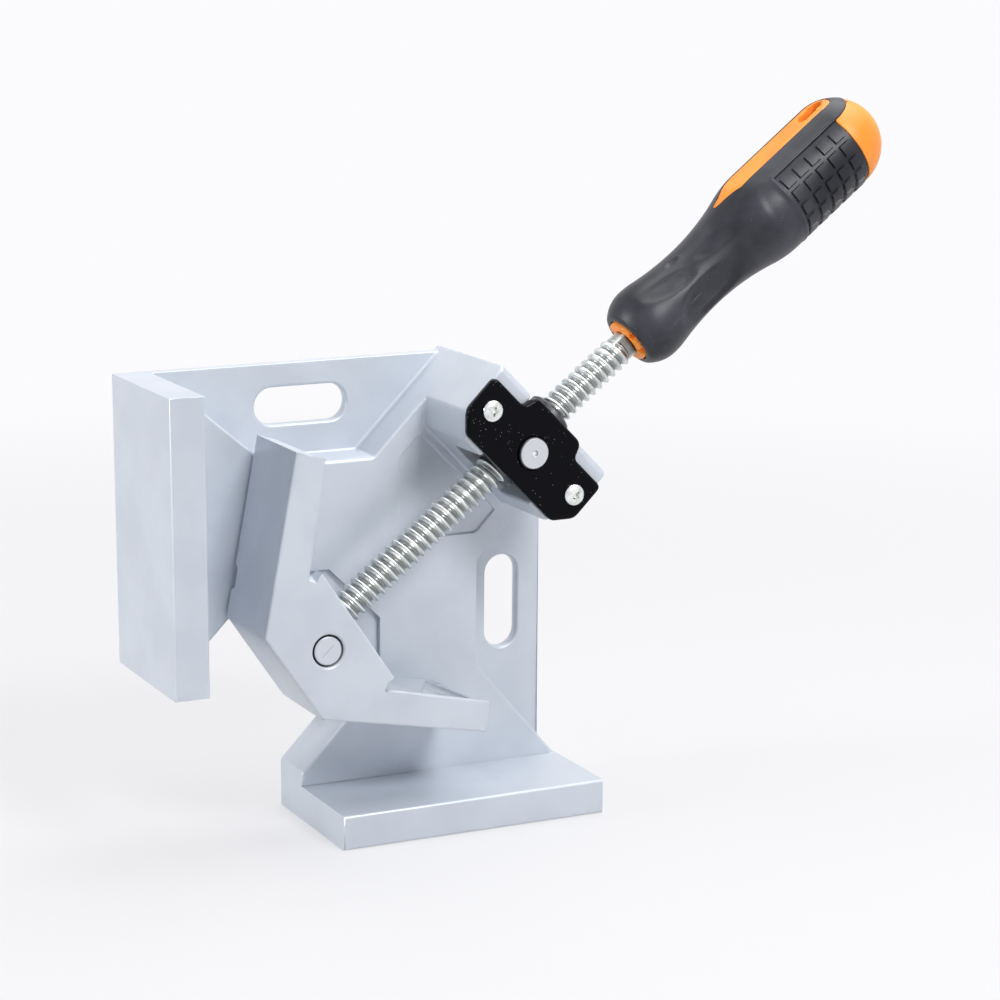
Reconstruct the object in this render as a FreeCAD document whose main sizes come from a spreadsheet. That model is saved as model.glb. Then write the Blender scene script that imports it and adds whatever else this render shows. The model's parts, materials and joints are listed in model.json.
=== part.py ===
import FreeCAD, Part
import math
import os
import re
import Sketcher

# Single-handle 90 degree corner clamp, stood on the outer face of its lower fixed jaw.
# Every sketch of the body casting uses x and z measured from the virtual corner where the
# inner faces of the two fixed jaws would meet, and depth towards the front from the back plane.
# Run is the distance from that corner along the 45 degree diagonal, side is across it.

doc = FreeCAD.newDocument("CornerClamp")
dims = doc.addObject("Spreadsheet::Sheet", "Dims")

SIZES = [
    # body casting
    ("jaw_width", 95.0, "length of each fixed jaw"),
    ("corner_gap", 45.0, "virtual corner to the start of a fixed jaw"),
    ("fence", 11.5, "thickness of a fixed jaw"),
    ("body_depth", 54.0, "back plane to the front edge of the fixed jaws"),
    ("bed", 19.5, "back plane to the bed that the swing jaw slides over"),
    ("flange", 4.5, "thickness of the mounting flange"),
    ("shelf", 30.7, "width of the flange shelf that holds a slot"),
    ("shelf_start", 35.0, "start of the straight edge of the bed beside a slot"),
    ("shelf_end", 71.2, "end of that straight edge"),
    ("edge_inset", 0.5, "bed stops this far short of the jaw's end"),
    ("relief_half", 28.5, "half width of the corner relief"),
    ("relief_run", 62.0, "depth of the corner relief along the diagonal"),
    ("slot_middle", 52.0, "slot centre along the jaw"),
    ("slot_edge", 14.0, "slot centre from the flange's outer edge"),
    ("slot_length", 32.5, "overall length of a mounting slot"),
    ("slot_width", 12.2, "width of a mounting slot"),
    ("core_wall", 5.0, "wall left around the cored back"),
    ("core_skin", 4.5, "bed thickness over the cored back"),
    ("rib", 3.0, "rib thickness in the cored back"),
    ("rib_run", 104.0, "place of the cross rib along the diagonal"),
    ("recess_depth", 1.0, "shallow recess in the bed"),
    ("recess_run", 144.2, "outer edge of that recess"),
    ("recess_half", 19.6, "half width of that recess"),
    ("recess_side", 10.3, "length of the recess's straight sides"),
    ("seat_depth", 2.0, "recess in the bed under the swing jaw"),
    ("seat_edge", 73.5, "virtual corner to that recess's two outer edges"),
    ("seat_run", 91.0, "its cut outer corner along the diagonal"),
    ("seat_start", 38.0, "virtual corner to its two inner edges"),
    ("seat_inner", 68.5, "its cut inner corner along the diagonal"),
    ("boss_inner", 147.4, "inner face of the nut housing"),
    ("boss_outer", 173.5, "outer face of the nut housing"),
    ("boss_half", 27.0, "half width of the nut housing"),
    ("boss_corner", 6.6, "chamfer of the housing's inner corners"),
    ("channel_half", 12.0, "half width of the spindle channel"),
    ("floor_gap", 2.5, "nut's barrel to the channel's floor"),
    ("boss_inset", 4.8, "front edge of the fixed jaws to the seat of the cover"),
    ("boss_round", 2.6, "rounding of the housing's outer front edge"),
    ("cast_round", 0.9, "rounding of cast edges"),
    # cover and its screws
    ("cover_inner", 148.6, "inner edge of the cover"),
    ("cover_outer", 168.3, "outer edge of the cover"),
    ("cover_nose", 173.6, "outer edge of the cover's middle nose"),
    ("cover_over", 0.5, "cover standing over the housing's sides"),
    ("cover_corner", 5.9, "chamfer of the cover's inner corners"),
    ("nose_half", 13.4, "half width of the nose at its root"),
    ("nose_draw", 1.9, "slant of the nose's sides"),
    ("cover_thick", 2.5, "thickness of the cover"),
    ("cover_edge", 0.7, "chamfer round the cover's front"),
    ("screw_inset", 6.0, "cover screw from the housing's side"),
    ("screw_shank", 3.5, "diameter of a cover screw"),
    ("screw_length", 12.0, "screw length below its head"),
    ("screw_head", 6.6, "head diameter"),
    ("screw_rise", 2.1, "head height"),
    ("screw_crown", 1.2, "height of the head's crown"),
    ("screw_gap", 0.15, "radial clearance of a screw in the cover"),
    ("screw_bite", 0.02, "radial clearance of a screw in the casting"),
    ("screw_spare", 1.5, "hole depth beyond a screw's end"),
    # swivel nut
    ("nut_run", 159.7, "trunnion axis along the diagonal"),
    ("trunnion", 10.4, "trunnion diameter"),
    ("trunnion_gap", 0.09, "radial clearance of a trunnion in the casting"),
    ("cover_gap", 0.3, "radial clearance of the trunnion in the cover"),
    ("trunnion_rise", 1.2, "trunnion standing out of the cover"),
    ("trunnion_root", 6.5, "trunnion depth below the channel floor"),
    ("end_spare", 0.5, "free depth behind the trunnion and the pin"),
    ("nut_outside", 16.0, "diameter of the nut's barrel"),
    ("nut_ahead", 11.0, "barrel length towards the swing jaw"),
    ("nut_behind", 16.5, "barrel length towards the handle"),
    ("nut_chamfer", 0.8, "chamfer of the barrel's ends"),
    ("thread_gap", 0.08, "radial clearance of the spindle in the nut"),
    ("dimple", 2.4, "diameter of the trunnion's centre mark"),
    # spindle
    ("thread", 11.0, "thread's outside diameter"),
    ("axis_inset", 14.5, "front edge of the fixed jaws to the spindle axis"),
    ("swivel_angle", 6.9, "spindle off the diagonal, as photographed"),
    ("pin_reach", 92.6, "trunnion axis to jaw pin, as photographed"),
    ("shoulder", 13.5, "jaw pin to the end of the thread"),
    ("journal", 7.0, "journal diameter in the bracket"),
    ("journal_end", 7.2, "jaw pin to the end of the journal"),
    ("journal_gap", 0.1, "radial clearance of the journal"),
    ("thread_chamfer", 0.8, "chamfer at the thread's start"),
    ("thread_end", 141.0, "jaw pin to the thread's outer end"),
    ("tang_width", 10.6, "width of the flattened neck and tang"),
    ("tang_thick", 5.0, "thickness of the flattened neck and tang"),
    ("tang_end", 186.0, "jaw pin to the tang's end"),
    ("tang_gap", 0.04, "clearance of the tang in the handle"),
    ("keeper", 10.4, "diameter of the retaining washer"),
    ("keeper_thick", 1.6, "thickness of the retaining washer"),
    ("keeper_gap", 0.15, "end play between washer, bracket and thread"),
    ("keeper_fit", 0.02, "radial clearance of the washer on the journal"),
    # bracket and pin
    ("sheet", 2.5, "sheet thickness of the bracket"),
    ("web_face", 13.2, "jaw pin to the bracket's outer face"),
    ("bracket_width", 17.4, "outside width of the bracket"),
    ("web_half", 9.5, "half length of the bracket's web"),
    ("cheek_half", 12.0, "half width of a cheek at its widest"),
    ("cheek_back", 4.0, "slope length of a cheek's corner"),
    ("cheek_side", 3.0, "straight side of a cheek"),
    ("nose_radius", 9.0, "half width of a cheek's rounded nose"),
    ("bend", 2.2, "outer bend radius of the bracket"),
    ("pin", 9.5, "jaw pin diameter"),
    ("pin_set_back", 0.3, "pin end below the swing jaw's front"),
    ("pin_back", 3.9, "pin's rear end to the swing jaw's back"),
    ("pin_ring", 0.5, "radial gap round the pin's front end"),
    ("pin_fit", 0.09, "radial clearance of the pin in the rear wall"),
    ("pin_hold", 0.02, "radial clearance of the pin in the bracket"),
    # swing jaw
    ("jaw_angle", 11.0, "turn of the swing jaw, as photographed"),
    ("jaw_face", 22.4, "jaw pin to each clamping face"),
    ("arm", 61.5, "jaw pin to an arm's end"),
    ("arm_tip", 10.4, "arm thickness at its end"),
    ("arm_root", 11.6, "arm thickness at its root"),
    ("arm_cut", 1.1, "slant of an arm's end"),
    ("nose_cut", 24.4, "corner cut between the clamping faces"),
    ("nose_wall", 4.0, "wall between that cut and the pocket"),
    ("jaw_clear", 0.8, "bed to the swing jaw's back"),
    ("gusset", 18.0, "sum of offsets of the gusset's diagonal edge"),
    ("gusset_end", 24.7, "end of that diagonal edge"),
    ("gusset_notch", 2.5, "relief where the gusset meets an arm"),
    ("pocket_clear", 0.3, "bracket to the gusset's walls"),
    ("cast_notch", 7.0, "length of the small notch at the jaw's back edge"),
    ("cast_notch_at", 11.5, "jaw pin to that notch"),
    ("cast_notch_deep", 2.4, "depth of that notch"),
    ("ledge", 17.5, "depth of an arm's inner face beside the gusset"),
    ("ledge_wide", 24.5, "its depth where it is deepest"),
    ("ledge_wide_at", 48.5, "jaw pin to that place"),
    ("ledge_end", 2.0, "its depth at the arm's end"),
    ("ledge_end_at", 55.0, "jaw pin to where it is down to that depth"),
    ("ledge_step", 4.0, "height left out behind it"),
    ("dip_at", 35.0, "jaw pin to the three-cornered pocket in that face"),
    ("dip_wall", 1.3, "wall left round the pocket"),
    ("dip_deep", 3.6, "depth of the pocket"),
    # handle
    ("handle_face", 144.6, "jaw pin to the handle's front face"),
    ("mouth", 8.2, "radius of the sleeve's front opening"),
    ("mouth_recess", 0.8, "core's front below the sleeve's front"),
    ("lip_length", 3.0, "length of the sleeve's narrowed mouth"),
    ("collar", 13.4, "radius of the collar"),
    ("collar_rise", 3.2, "rise of the collar's rounded front"),
    ("collar_fall", 0.5, "fall of the collar towards the waist"),
    ("collar_at", 8.5, "place of the collar"),
    ("collar_end", 14.0, "end of the collar"),
    ("waist", 11.4, "radius of the waist"),
    ("waist_at", 31.0, "place of the waist"),
    ("swell_at", 54.0, "place where the grip swells"),
    ("swell", 14.55, "radius there"),
    ("barrel_at", 64.0, "start of the grip's barrel"),
    ("barrel", 16.0, "radius of the grip's barrel and its domed end"),
    ("dome_at", 96.9, "end of the barrel and centre of the dome"),
    ("sleeve_end", 97.3, "end of the rubber sleeve"),
    ("tongue_half", 10.6, "radius of the sleeve's rounded tongue over the dome"),
    ("tongue_base", 7.0, "height of the tongue's base above the axis"),
    ("core", 9.5, "radius of the core inside the sleeve"),
    ("sleeve_gap", 0.05, "clearance between core and sleeve"),
    ("strip_start", 50.0, "point of the inlaid strip"),
    ("strip_wide", 60.0, "where the strip has its full width"),
    ("strip_end", 103.9, "end of the strip"),
    ("strip_half", 5.2, "half width of the strip"),
    ("strip_top", 15.2, "flat top of the strip above the axis"),
    ("strip_sink", 0.2, "strip and domed end below the sleeve's surface"),
    ("hang_at", 96.2, "middle of the hanging hole"),
    ("hang_length", 10.2, "length of the hanging hole"),
    ("hang_width", 4.8, "width of the hanging hole"),
]
for row, (alias, value, note) in enumerate(SIZES, 1):
    dims.set("A%d" % row, note)
    dims.set("B%d" % row, str(value))
    dims.setAlias("B%d" % row, alias)
doc.recompute()

DERIVED = [
    ("channel_floor", "(axis_depth - nut_outside / 2 - floor_gap)"),
    ("axis_depth", "(body_depth - axis_inset)"),
    ("boss_top", "(body_depth - boss_inset)"),
    ("cover_half", "(boss_half + cover_over)"),
    ("screw_side", "(boss_half - screw_inset)"),
    ("tongue_end", "(sleeve_end + tongue_half)"),
]
NAMES = sorted((alias for alias, value, note in SIZES), key=len, reverse=True)
WORD = re.compile(r"\b(" + "|".join(NAMES) + r")\b")


def bind(text):
    """An expression on the sheet's cells."""
    for name, meaning in DERIVED:
        text = re.sub(r"\b%s\b" % name, meaning, str(text))
    return WORD.sub(r"Dims.\1", str(text))


def size(text):
    """The value of such an expression."""
    found = dims.evalExpression(bind(text))
    return float(getattr(found, "Value", found))


def diag(run, side):
    """A point given along and across the 45 degree diagonal."""
    return ("((%s) + (%s)) / sqrt(2)" % (run, side), "((%s) - (%s)) / sqrt(2)" % (run, side))


def swap(points):
    """The mirror image of an outline about the diagonal, run the other way round."""
    return [(z, x) for x, z in reversed(points)]


def make_body(label):
    body = doc.addObject("PartDesign::Body", label)
    body.Label = label
    return body


def make_sketch(body, name, role, offset="0"):
    sketch = body.newObject("Sketcher::SketchObject", name)
    support = [f for f in body.Origin.OriginFeatures if f.Role == role][0]
    sketch.AttachmentSupport = [(support, "")]
    sketch.MapMode = "FlatFace"
    sketch.setExpression("AttachmentOffset.Base.z", bind(offset))
    return sketch


def pin_point(sketch, geo, pos, x, y):
    """Fix a sketch point at bound coordinates."""
    index = sketch.addConstraint(Sketcher.Constraint("DistanceX", -1, 1, geo, pos, size(x)))
    sketch.setExpression("Constraints[%d]" % index, bind(x))
    index = sketch.addConstraint(Sketcher.Constraint("DistanceY", -1, 1, geo, pos, size(y)))
    sketch.setExpression("Constraints[%d]" % index, bind(y))


def draw_outline(sketch, points):
    """A closed outline. A point (x, y) starts a line, and (x, y, radius, turn) an arc that
    runs anticlockwise for turn 1 and clockwise for turn -1. A half circle, anticlockwise, is
    (x, y, side, centre), where side "x" or "y" says which coordinate its centre keeps."""
    start = sketch.GeometryCount
    spots = [FreeCAD.Vector(size(p[0]), size(p[1]), 0) for p in points]
    ends = []
    for i, point in enumerate(points):
        a = spots[i]
        b = spots[(i + 1) % len(spots)]
        if len(point) == 2:
            sketch.addGeometry(Part.LineSegment(a, b))
            ends.append((1, 2))
            continue
        chord = b - a
        half_circle = point[2] in ("x", "y")
        radius = chord.Length / 2 if half_circle else size(point[2])
        turn = 1 if half_circle else point[3]
        rise = math.sqrt(max(radius ** 2 - (chord.Length / 2) ** 2, 0))
        normal = FreeCAD.Vector(-chord.y, chord.x, 0).normalize()
        centre = (a + b) * 0.5 + normal * (rise * turn)
        first, last = (a, b) if turn > 0 else (b, a)
        begin = math.atan2(first.y - centre.y, first.x - centre.x)
        finish = math.atan2(last.y - centre.y, last.x - centre.x)
        if finish < begin:
            finish += 2 * math.pi
        circle = Part.Circle(centre, FreeCAD.Vector(0, 0, 1), radius)
        geo = sketch.addGeometry(Part.ArcOfCircle(circle, begin, finish))
        ends.append((1, 2) if turn > 0 else (2, 1))
        if half_circle:
            kind = "DistanceX" if point[2] == "x" else "DistanceY"
            index = sketch.addConstraint(Sketcher.Constraint(kind, -1, 1, geo, 3, size(point[3])))
            sketch.setExpression("Constraints[%d]" % index, bind(point[3]))
        else:
            index = sketch.addConstraint(Sketcher.Constraint("Radius", geo, radius))
            sketch.setExpression("Constraints[%d]" % index, bind(point[2]))
    count = len(points)
    for i in range(count):
        j = (i + 1) % count
        sketch.addConstraint(Sketcher.Constraint("Coincident", start + i, ends[i][1], start + j, ends[j][0]))
    for i, point in enumerate(points):
        pin_point(sketch, start + i, ends[i][0], point[0], point[1])


def draw_circle(sketch, x, y, radius):
    centre = FreeCAD.Vector(size(x), size(y), 0)
    geo = sketch.addGeometry(Part.Circle(centre, FreeCAD.Vector(0, 0, 1), size(radius)))
    pin_point(sketch, geo, 3, x, y)
    index = sketch.addConstraint(Sketcher.Constraint("Radius", geo, size(radius)))
    sketch.setExpression("Constraints[%d]" % index, bind(radius))


def slot_outline(x, y, length, width, upright):
    """The outline of a round-ended slot."""
    half = "(%s) / 2" % width
    run = "((%s) - (%s)) / 2" % (length, width)
    if upright:
        low = "(%s) - %s" % (y, run)
        high = "(%s) + %s" % (y, run)
        return [
            ("(%s) - %s" % (x, half), low, "y", low),
            ("(%s) + %s" % (x, half), low),
            ("(%s) + %s" % (x, half), high, "y", high),
            ("(%s) - %s" % (x, half), high),
        ]
    near = "(%s) - %s" % (x, run)
    far = "(%s) + %s" % (x, run)
    return [
        (far, "(%s) - %s" % (y, half), "x", far),
        (far, "(%s) + %s" % (y, half)),
        (near, "(%s) + %s" % (y, half), "x", near),
        (near, "(%s) - %s" % (y, half)),
    ]


def soft(run, rise):
    """The radius of an arc that leaves the axis direction and gains this rise over this run."""
    return "((%s)^2 + (%s)^2) / (2 * (%s))" % (run, rise, rise)


def pad(body, name, outlines, length, offset="0", role="XZ_Plane", midplane=False):
    sketch = make_sketch(body, name + "Sketch", role, offset)
    for outline in outlines:
        draw_outline(sketch, outline)
    feature = body.newObject("PartDesign::Pad", name)
    feature.Profile = sketch
    feature.Midplane = midplane
    feature.setExpression("Length", bind(length))
    return feature


def cut(body, name, outlines, length, offset="0", role="XZ_Plane", circles=(), midplane=False,
        away=False):
    """A pocket. It runs against its plane's normal, or along it where away is true."""
    before = body.Shape.Volume
    sketch = make_sketch(body, name + "Sketch", role, offset)
    for outline in outlines:
        draw_outline(sketch, outline)
    for x, y, radius in circles:
        draw_circle(sketch, x, y, radius)
    feature = body.newObject("PartDesign::Pocket", name)
    feature.Profile = sketch
    feature.Midplane = midplane
    feature.Reversed = away
    feature.setExpression("Length", bind(length))
    doc.recompute()
    if not body.Shape.Volume < before - 1e-3:
        raise RuntimeError(name + " cuts nothing")
    return feature


def revolve(body, name, outline, groove=False):
    """A profile of length and radius turned about the body's X axis."""
    sketch = make_sketch(body, name + "Sketch", "XZ_Plane")
    draw_outline(sketch, outline)
    feature = body.newObject("PartDesign::Groove" if groove else "PartDesign::Revolution", name)
    feature.Profile = sketch
    feature.ReferenceAxis = (sketch, ["H_Axis"])
    feature.Angle = 360
    doc.recompute()
    return feature


def dress(body, kind, name, amount, chosen):
    """A fillet or chamfer on the edges of the body that chosen(edge) picks."""
    doc.recompute()
    base = body.Tip
    names = ["Edge%d" % (i + 1) for i, edge in enumerate(base.Shape.Edges) if chosen(edge)]
    if not names:
        raise RuntimeError(name + " finds no edge")
    feature = body.newObject("PartDesign::" + kind, name)
    feature.Base = (base, names)
    feature.setExpression("Radius" if kind == "Fillet" else "Size", bind(amount))
    doc.recompute()
    return feature


def at_depth(edge, depth):
    """Does the edge lie in the plane at this depth in front of the back plane?"""
    box = edge.BoundBox
    return abs(box.YMin + size(depth)) < 1e-4 and abs(box.YMax + size(depth)) < 1e-4


def set_down(body, x, depth, z, angle="0"):
    """Place a body, given from the virtual corner and the back plane, turned about Y."""
    turn = size(angle)
    spin = FreeCAD.Rotation(FreeCAD.Vector(0, 1, 0), turn if abs(turn) > 1e-9 else 1e-9)
    body.Placement = FreeCAD.Placement(FreeCAD.Vector(0, 0, 0), spin)
    body.setExpression("Placement.Base.x", bind("(%s) - (corner_gap + jaw_width / 2)" % x))
    body.setExpression("Placement.Base.y", bind("body_depth / 2 - (%s)" % depth))
    body.setExpression("Placement.Base.z", bind("(%s) + fence" % z))
    if angle != "0":
        body.setExpression("Placement.Rotation.Angle", bind(angle))


REACH = "corner_gap + jaw_width"
SHOULDER = "corner_gap + jaw_width - shelf"
NUT = diag("nut_run", "0")
PIN = diag("nut_run - pin_reach * cos(swivel_angle)", "-(pin_reach * sin(swivel_angle))")
AXIS_TURN = "-(45 - swivel_angle)"

# Body casting: flange, bed, two fixed jaws and the nut housing.
frame = make_body("frame_body")
near = "relief_half * sqrt(2)"
relief = [
    ("corner_gap", "corner_gap - %s" % near),
    diag("relief_run", "relief_half"),
    diag("relief_run", "-(relief_half)"),
    ("corner_gap - %s" % near, "corner_gap"),
]
housing_edge = diag("boss_inner + boss_corner", "boss_half")[0] + " + boss_corner"
pad(frame, "Flange", [[
    ("corner_gap", "-(fence)")] + relief + [
    ("-(fence)", "corner_gap"),
    ("-(fence)", REACH),
    (REACH + " - shelf", REACH),
    (REACH, REACH + " - shelf"),
    (REACH, "-(fence)"),
]], "flange")
lip = "-(fence / 2)"
bed_side = [
    (lip, "corner_gap"),
    (lip, REACH + " - edge_inset"),
    ("0", REACH + " - edge_inset"),
    ("shelf_start", SHOULDER),
    ("shelf_end", SHOULDER),
    diag("boss_inner + boss_corner", "-(boss_half)"),
]
pad(frame, "Bed", [[("corner_gap", lip)] + relief + bed_side + swap(bed_side[1:])], "bed")
pad(frame, "FixedJaws", [
    [("-(fence)", "corner_gap"), ("0", "corner_gap"), ("0", REACH), ("-(fence)", REACH)],
    [("corner_gap", "-(fence)"), (REACH, "-(fence)"), (REACH, "0"), ("corner_gap", "0")],
], "body_depth")
housing = [
    diag("boss_inner", "boss_half - boss_corner"),
    diag("boss_inner + boss_corner", "boss_half"),
    diag("boss_outer", "boss_half"),
    diag("boss_outer", "-(boss_half)"),
    diag("boss_inner + boss_corner", "-(boss_half)"),
    diag("boss_inner", "-(boss_half - boss_corner)"),
]
pad(frame, "NutHousing", [housing], "channel_floor")
lug = [
    diag("boss_inner", "boss_half - boss_corner"),
    diag("boss_inner + boss_corner", "boss_half"),
    diag("boss_outer", "boss_half"),
    diag("boss_outer", "channel_half"),
    diag("boss_inner", "channel_half"),
]
pad(frame, "Lugs", [lug, swap(lug)], "boss_top")
doc.recompute()
cut(frame, "Slots", [
    slot_outline("slot_middle", REACH + " - slot_edge", "slot_length", "slot_width", False),
    slot_outline(REACH + " - slot_edge", "slot_middle", "slot_length", "slot_width", True),
], "flange", "0", away=True)
recess = [
    diag("recess_run", "-(recess_half)"),
    diag("recess_run - recess_side", "-(recess_half)"),
    diag("recess_run - recess_side - recess_half", "0"),
    diag("recess_run - recess_side", "recess_half"),
    diag("recess_run", "recess_half"),
]
cut(frame, "BedRecess", [recess], "recess_depth", "bed")
# The back is cored out to an even wall, with two crossing ribs left in.
slope = "((shelf - edge_inset) / shelf_start)"
lean = "sqrt(1 + %s^2)" % slope
inside = SHOULDER + " - core_wall"
core_half = [
    diag("relief_run + core_wall", "-(relief_half + core_wall)"),
    ("core_wall", "core_wall + (relief_half + core_wall) * sqrt(2)"),
    ("core_wall", SHOULDER + " + %s * (shelf_start - core_wall) - core_wall * %s" % (slope, lean)),
    ("shelf_start - core_wall * (%s - 1) / %s" % (lean, slope), inside),
    ("shelf_end + core_wall * (sqrt(2) - 1)", inside),
    diag("boss_inner - core_wall", "-(boss_half - core_wall)"),
]
cut(frame, "CoredBack", [core_half + swap(core_half)], "bed - core_skin", "0", away=True)
pad(frame, "Ribs", [
    [
        diag("relief_run", "-(rib / 2)"),
        diag("boss_inner", "-(rib / 2)"),
        diag("boss_inner", "rib / 2"),
        diag("relief_run", "rib / 2"),
    ],
], "bed - core_skin / 2")
rib_reach = SHOULDER + " - core_wall / 2"
rib_side = [
    ("(rib_run + rib) * sqrt(2) - (%s)" % rib_reach, rib_reach),
    ("rib_run * sqrt(2) - (%s)" % rib_reach, rib_reach),
]
pad(frame, "CrossRib", [rib_side + swap(rib_side)], "bed - core_skin / 2")
doc.recompute()
seat_side = [
    ("seat_start", "seat_inner * sqrt(2) - seat_start"),
    ("seat_start", "seat_edge"),
    ("seat_run * sqrt(2) - seat_edge", "seat_edge"),
]
cut(frame, "JawSeat", [seat_side + swap(seat_side)], "seat_depth", "bed")
cut(frame, "TrunnionHole", [], "trunnion_root + end_spare", "channel_floor",
    circles=[NUT + ("trunnion / 2 + trunnion_gap",)])
cut(frame, "ScrewHoles", [], "screw_length - cover_thick + screw_spare", "boss_top", circles=[
    diag("nut_run", "screw_side") + ("screw_shank / 2 + screw_bite",),
    diag("nut_run", "-(screw_side)") + ("screw_shank / 2 + screw_bite",),
])
dress(frame, "Fillet", "JawEdges", "cast_round", lambda e: at_depth(e, "body_depth"))


def on_outer_edge(edge):
    if not at_depth(edge, "boss_top") or edge.Curve.TypeId != "Part::GeomLine":
        return False
    spots = [v.Point for v in edge.Vertexes]
    return all(abs((p.x + p.z) / math.sqrt(2) - size("boss_outer")) < 1e-4 for p in spots)


dress(frame, "Fillet", "HousingEdge", "boss_round", on_outer_edge)
set_down(frame, "0", "0", "0")

# Cover plate over the swivel nut, and its two screws.
cover = make_body("cover_plate")
cover_half_outline = [
    diag("cover_inner", "cover_half - cover_corner"),
    diag("cover_inner + cover_corner", "cover_half"),
    diag("cover_outer", "cover_half"),
    diag("cover_outer", "nose_half"),
    diag("cover_nose", "nose_half - nose_draw"),
]
pad(cover, "Plate", [cover_half_outline + swap(cover_half_outline)], "cover_thick", "boss_top")
doc.recompute()
cut(cover, "Holes", [], "cover_thick", "boss_top", away=True, circles=[
    NUT + ("trunnion / 2 + cover_gap",),
    diag("nut_run", "screw_side") + ("screw_shank / 2 + screw_gap",),
    diag("nut_run", "-(screw_side)") + ("screw_shank / 2 + screw_gap",),
])
dress(cover, "Chamfer", "FrontEdge", "cover_edge",
      lambda e: at_depth(e, "boss_top + cover_thick") and e.Curve.TypeId == "Part::GeomLine")
set_down(cover, "0", "0", "0")

for label, side in (("cover_screw_upper", "-(screw_side)"), ("cover_screw_lower", "screw_side")):
    screw = make_body(label)
    revolve(screw, "Turned", [
        ("-(screw_length)", "0"),
        ("-(screw_length)", "screw_shank / 3"),
        ("-(screw_length) + screw_shank / 3", "screw_shank / 2"),
        ("0", "screw_shank / 2"),
        ("0", "screw_head / 2"),
        ("screw_rise - screw_crown", "screw_head / 2", soft("screw_head / 2", "screw_crown"), -1),
        ("screw_rise", "0"),
    ])
    place = diag("nut_run", side)
    set_down(screw, place[0], "boss_top + cover_thick", place[1])
    screw.Placement.Rotation = FreeCAD.Rotation(FreeCAD.Vector(0, 0, 1), -90)

# Swivel nut: a threaded barrel on two trunnions, which turns in the casting and the cover.
nut = make_body("swivel_nut")
revolve(nut, "Barrel", [
    ("-(nut_ahead)", "0"),
    ("-(nut_ahead)", "nut_outside / 2 - nut_chamfer"),
    ("-(nut_ahead) + nut_chamfer", "nut_outside / 2"),
    ("nut_behind - nut_chamfer", "nut_outside / 2"),
    ("nut_behind", "nut_outside / 2 - nut_chamfer"),
    ("nut_behind", "0"),
])
front_end = "boss_top + cover_thick + trunnion_rise - axis_depth"
back_end = "axis_depth - channel_floor + trunnion_root"
trunnion_sketch = make_sketch(nut, "TrunnionSketch", "XZ_Plane", front_end)
draw_circle(trunnion_sketch, "0", "0", "trunnion / 2")
trunnions = nut.newObject("PartDesign::Pad", "Trunnions")
trunnions.Profile = trunnion_sketch
trunnions.Reversed = True
trunnions.setExpression("Length", bind("%s + %s" % (front_end, back_end)))
doc.recompute()
cut(nut, "Bore", [], "nut_ahead + nut_behind + 2 * nut_outside", "0", role="YZ_Plane",
    circles=[("0", "0", "thread / 2 + thread_gap")], midplane=True)
cut(nut, "CentreMark", [], "dimple / 4", front_end, circles=[("0", "0", "dimple / 2")])
dress(nut, "Chamfer", "TrunnionEdge", "dimple / 6",
      lambda e: at_depth(e, front_end) and e.Length > 6 * size("dimple"))
set_down(nut, NUT[0], "axis_depth", NUT[1], AXIS_TURN)

# Spindle: plain cylinder at the thread's outside diameter, journal, flattened neck and tang.
spindle = make_body("spindle")
revolve(spindle, "Turned", [
    ("journal_end", "0"),
    ("journal_end", "journal / 2"),
    ("shoulder", "journal / 2"),
    ("shoulder", "thread / 2 - thread_chamfer"),
    ("shoulder + thread_chamfer", "thread / 2"),
    ("thread_end - thread_chamfer", "thread / 2"),
    ("thread_end", "thread / 2 - thread_chamfer"),
    ("thread_end", "0"),
])
pad(spindle, "Tang", [[
    ("thread_end - thread_chamfer", "-(tang_width / 2)"),
    ("thread_end + thread_chamfer", "-(tang_width / 2)"),
    ("handle_face", "-(tang_width / 2)"),
    ("tang_end", "-(tang_width / 2)"),
    ("tang_end", "tang_width / 2"),
    ("thread_end - thread_chamfer", "tang_width / 2"),
]], "tang_thick", "0", midplane=True)
set_down(spindle, PIN[0], "axis_depth", PIN[1], AXIS_TURN)

keeper = make_body("spindle_keeper")
revolve(keeper, "Washer", [
    ("web_face - sheet - keeper_gap - keeper_thick", "journal / 2 + keeper_fit"),
    ("web_face - sheet - keeper_gap - keeper_thick", "keeper / 2"),
    ("web_face - sheet - keeper_gap", "keeper / 2"),
    ("web_face - sheet - keeper_gap", "journal / 2 + keeper_fit"),
])
set_down(keeper, PIN[0], "axis_depth", PIN[1], AXIS_TURN)

# Bracket: a bent sheet fork that carries the spindle's end and the jaw pin.
bracket = make_body("spindle_bracket")
cheek_half_outline = [
    ("web_face", "web_half"),
    ("web_face - cheek_back", "cheek_half"),
    ("web_face - cheek_back - cheek_side", "cheek_half"),
    ("-(nose_radius) / 2", "nose_radius"),
    ("-(nose_radius)", "nose_radius / 2"),
]
cheek = cheek_half_outline + [(x, "-(%s)" % z) for x, z in reversed(cheek_half_outline)]
pad(bracket, "FrontCheek", [cheek], "sheet", "bracket_width / 2 - sheet")
pad(bracket, "RearCheek", [cheek], "sheet", "-(bracket_width / 2)")
bracket.Tip.setExpression("Length", bind("sheet"))
pad(bracket, "Web", [[
    ("web_face - sheet", "-(web_half)"),
    ("web_face", "-(web_half)"),
    ("web_face", "web_half"),
    ("web_face - sheet", "web_half"),
]], "bracket_width", "0", midplane=True)
doc.recompute()
cut(bracket, "JournalHole", [], "sheet + 2", "web_face + 1", role="YZ_Plane",
    circles=[("0", "0", "journal / 2 + journal_gap")])
cut(bracket, "PinHoles", [], "bracket_width + 2", "0", midplane=True,
    circles=[("0", "0", "pin / 2 + pin_hold")])


def on_bend(edge):
    box = edge.BoundBox
    flat = abs(box.XMin - size("web_face")) < 1e-4 and abs(box.XMax - size("web_face")) < 1e-4
    return flat and box.ZLength > size("web_half")


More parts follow.
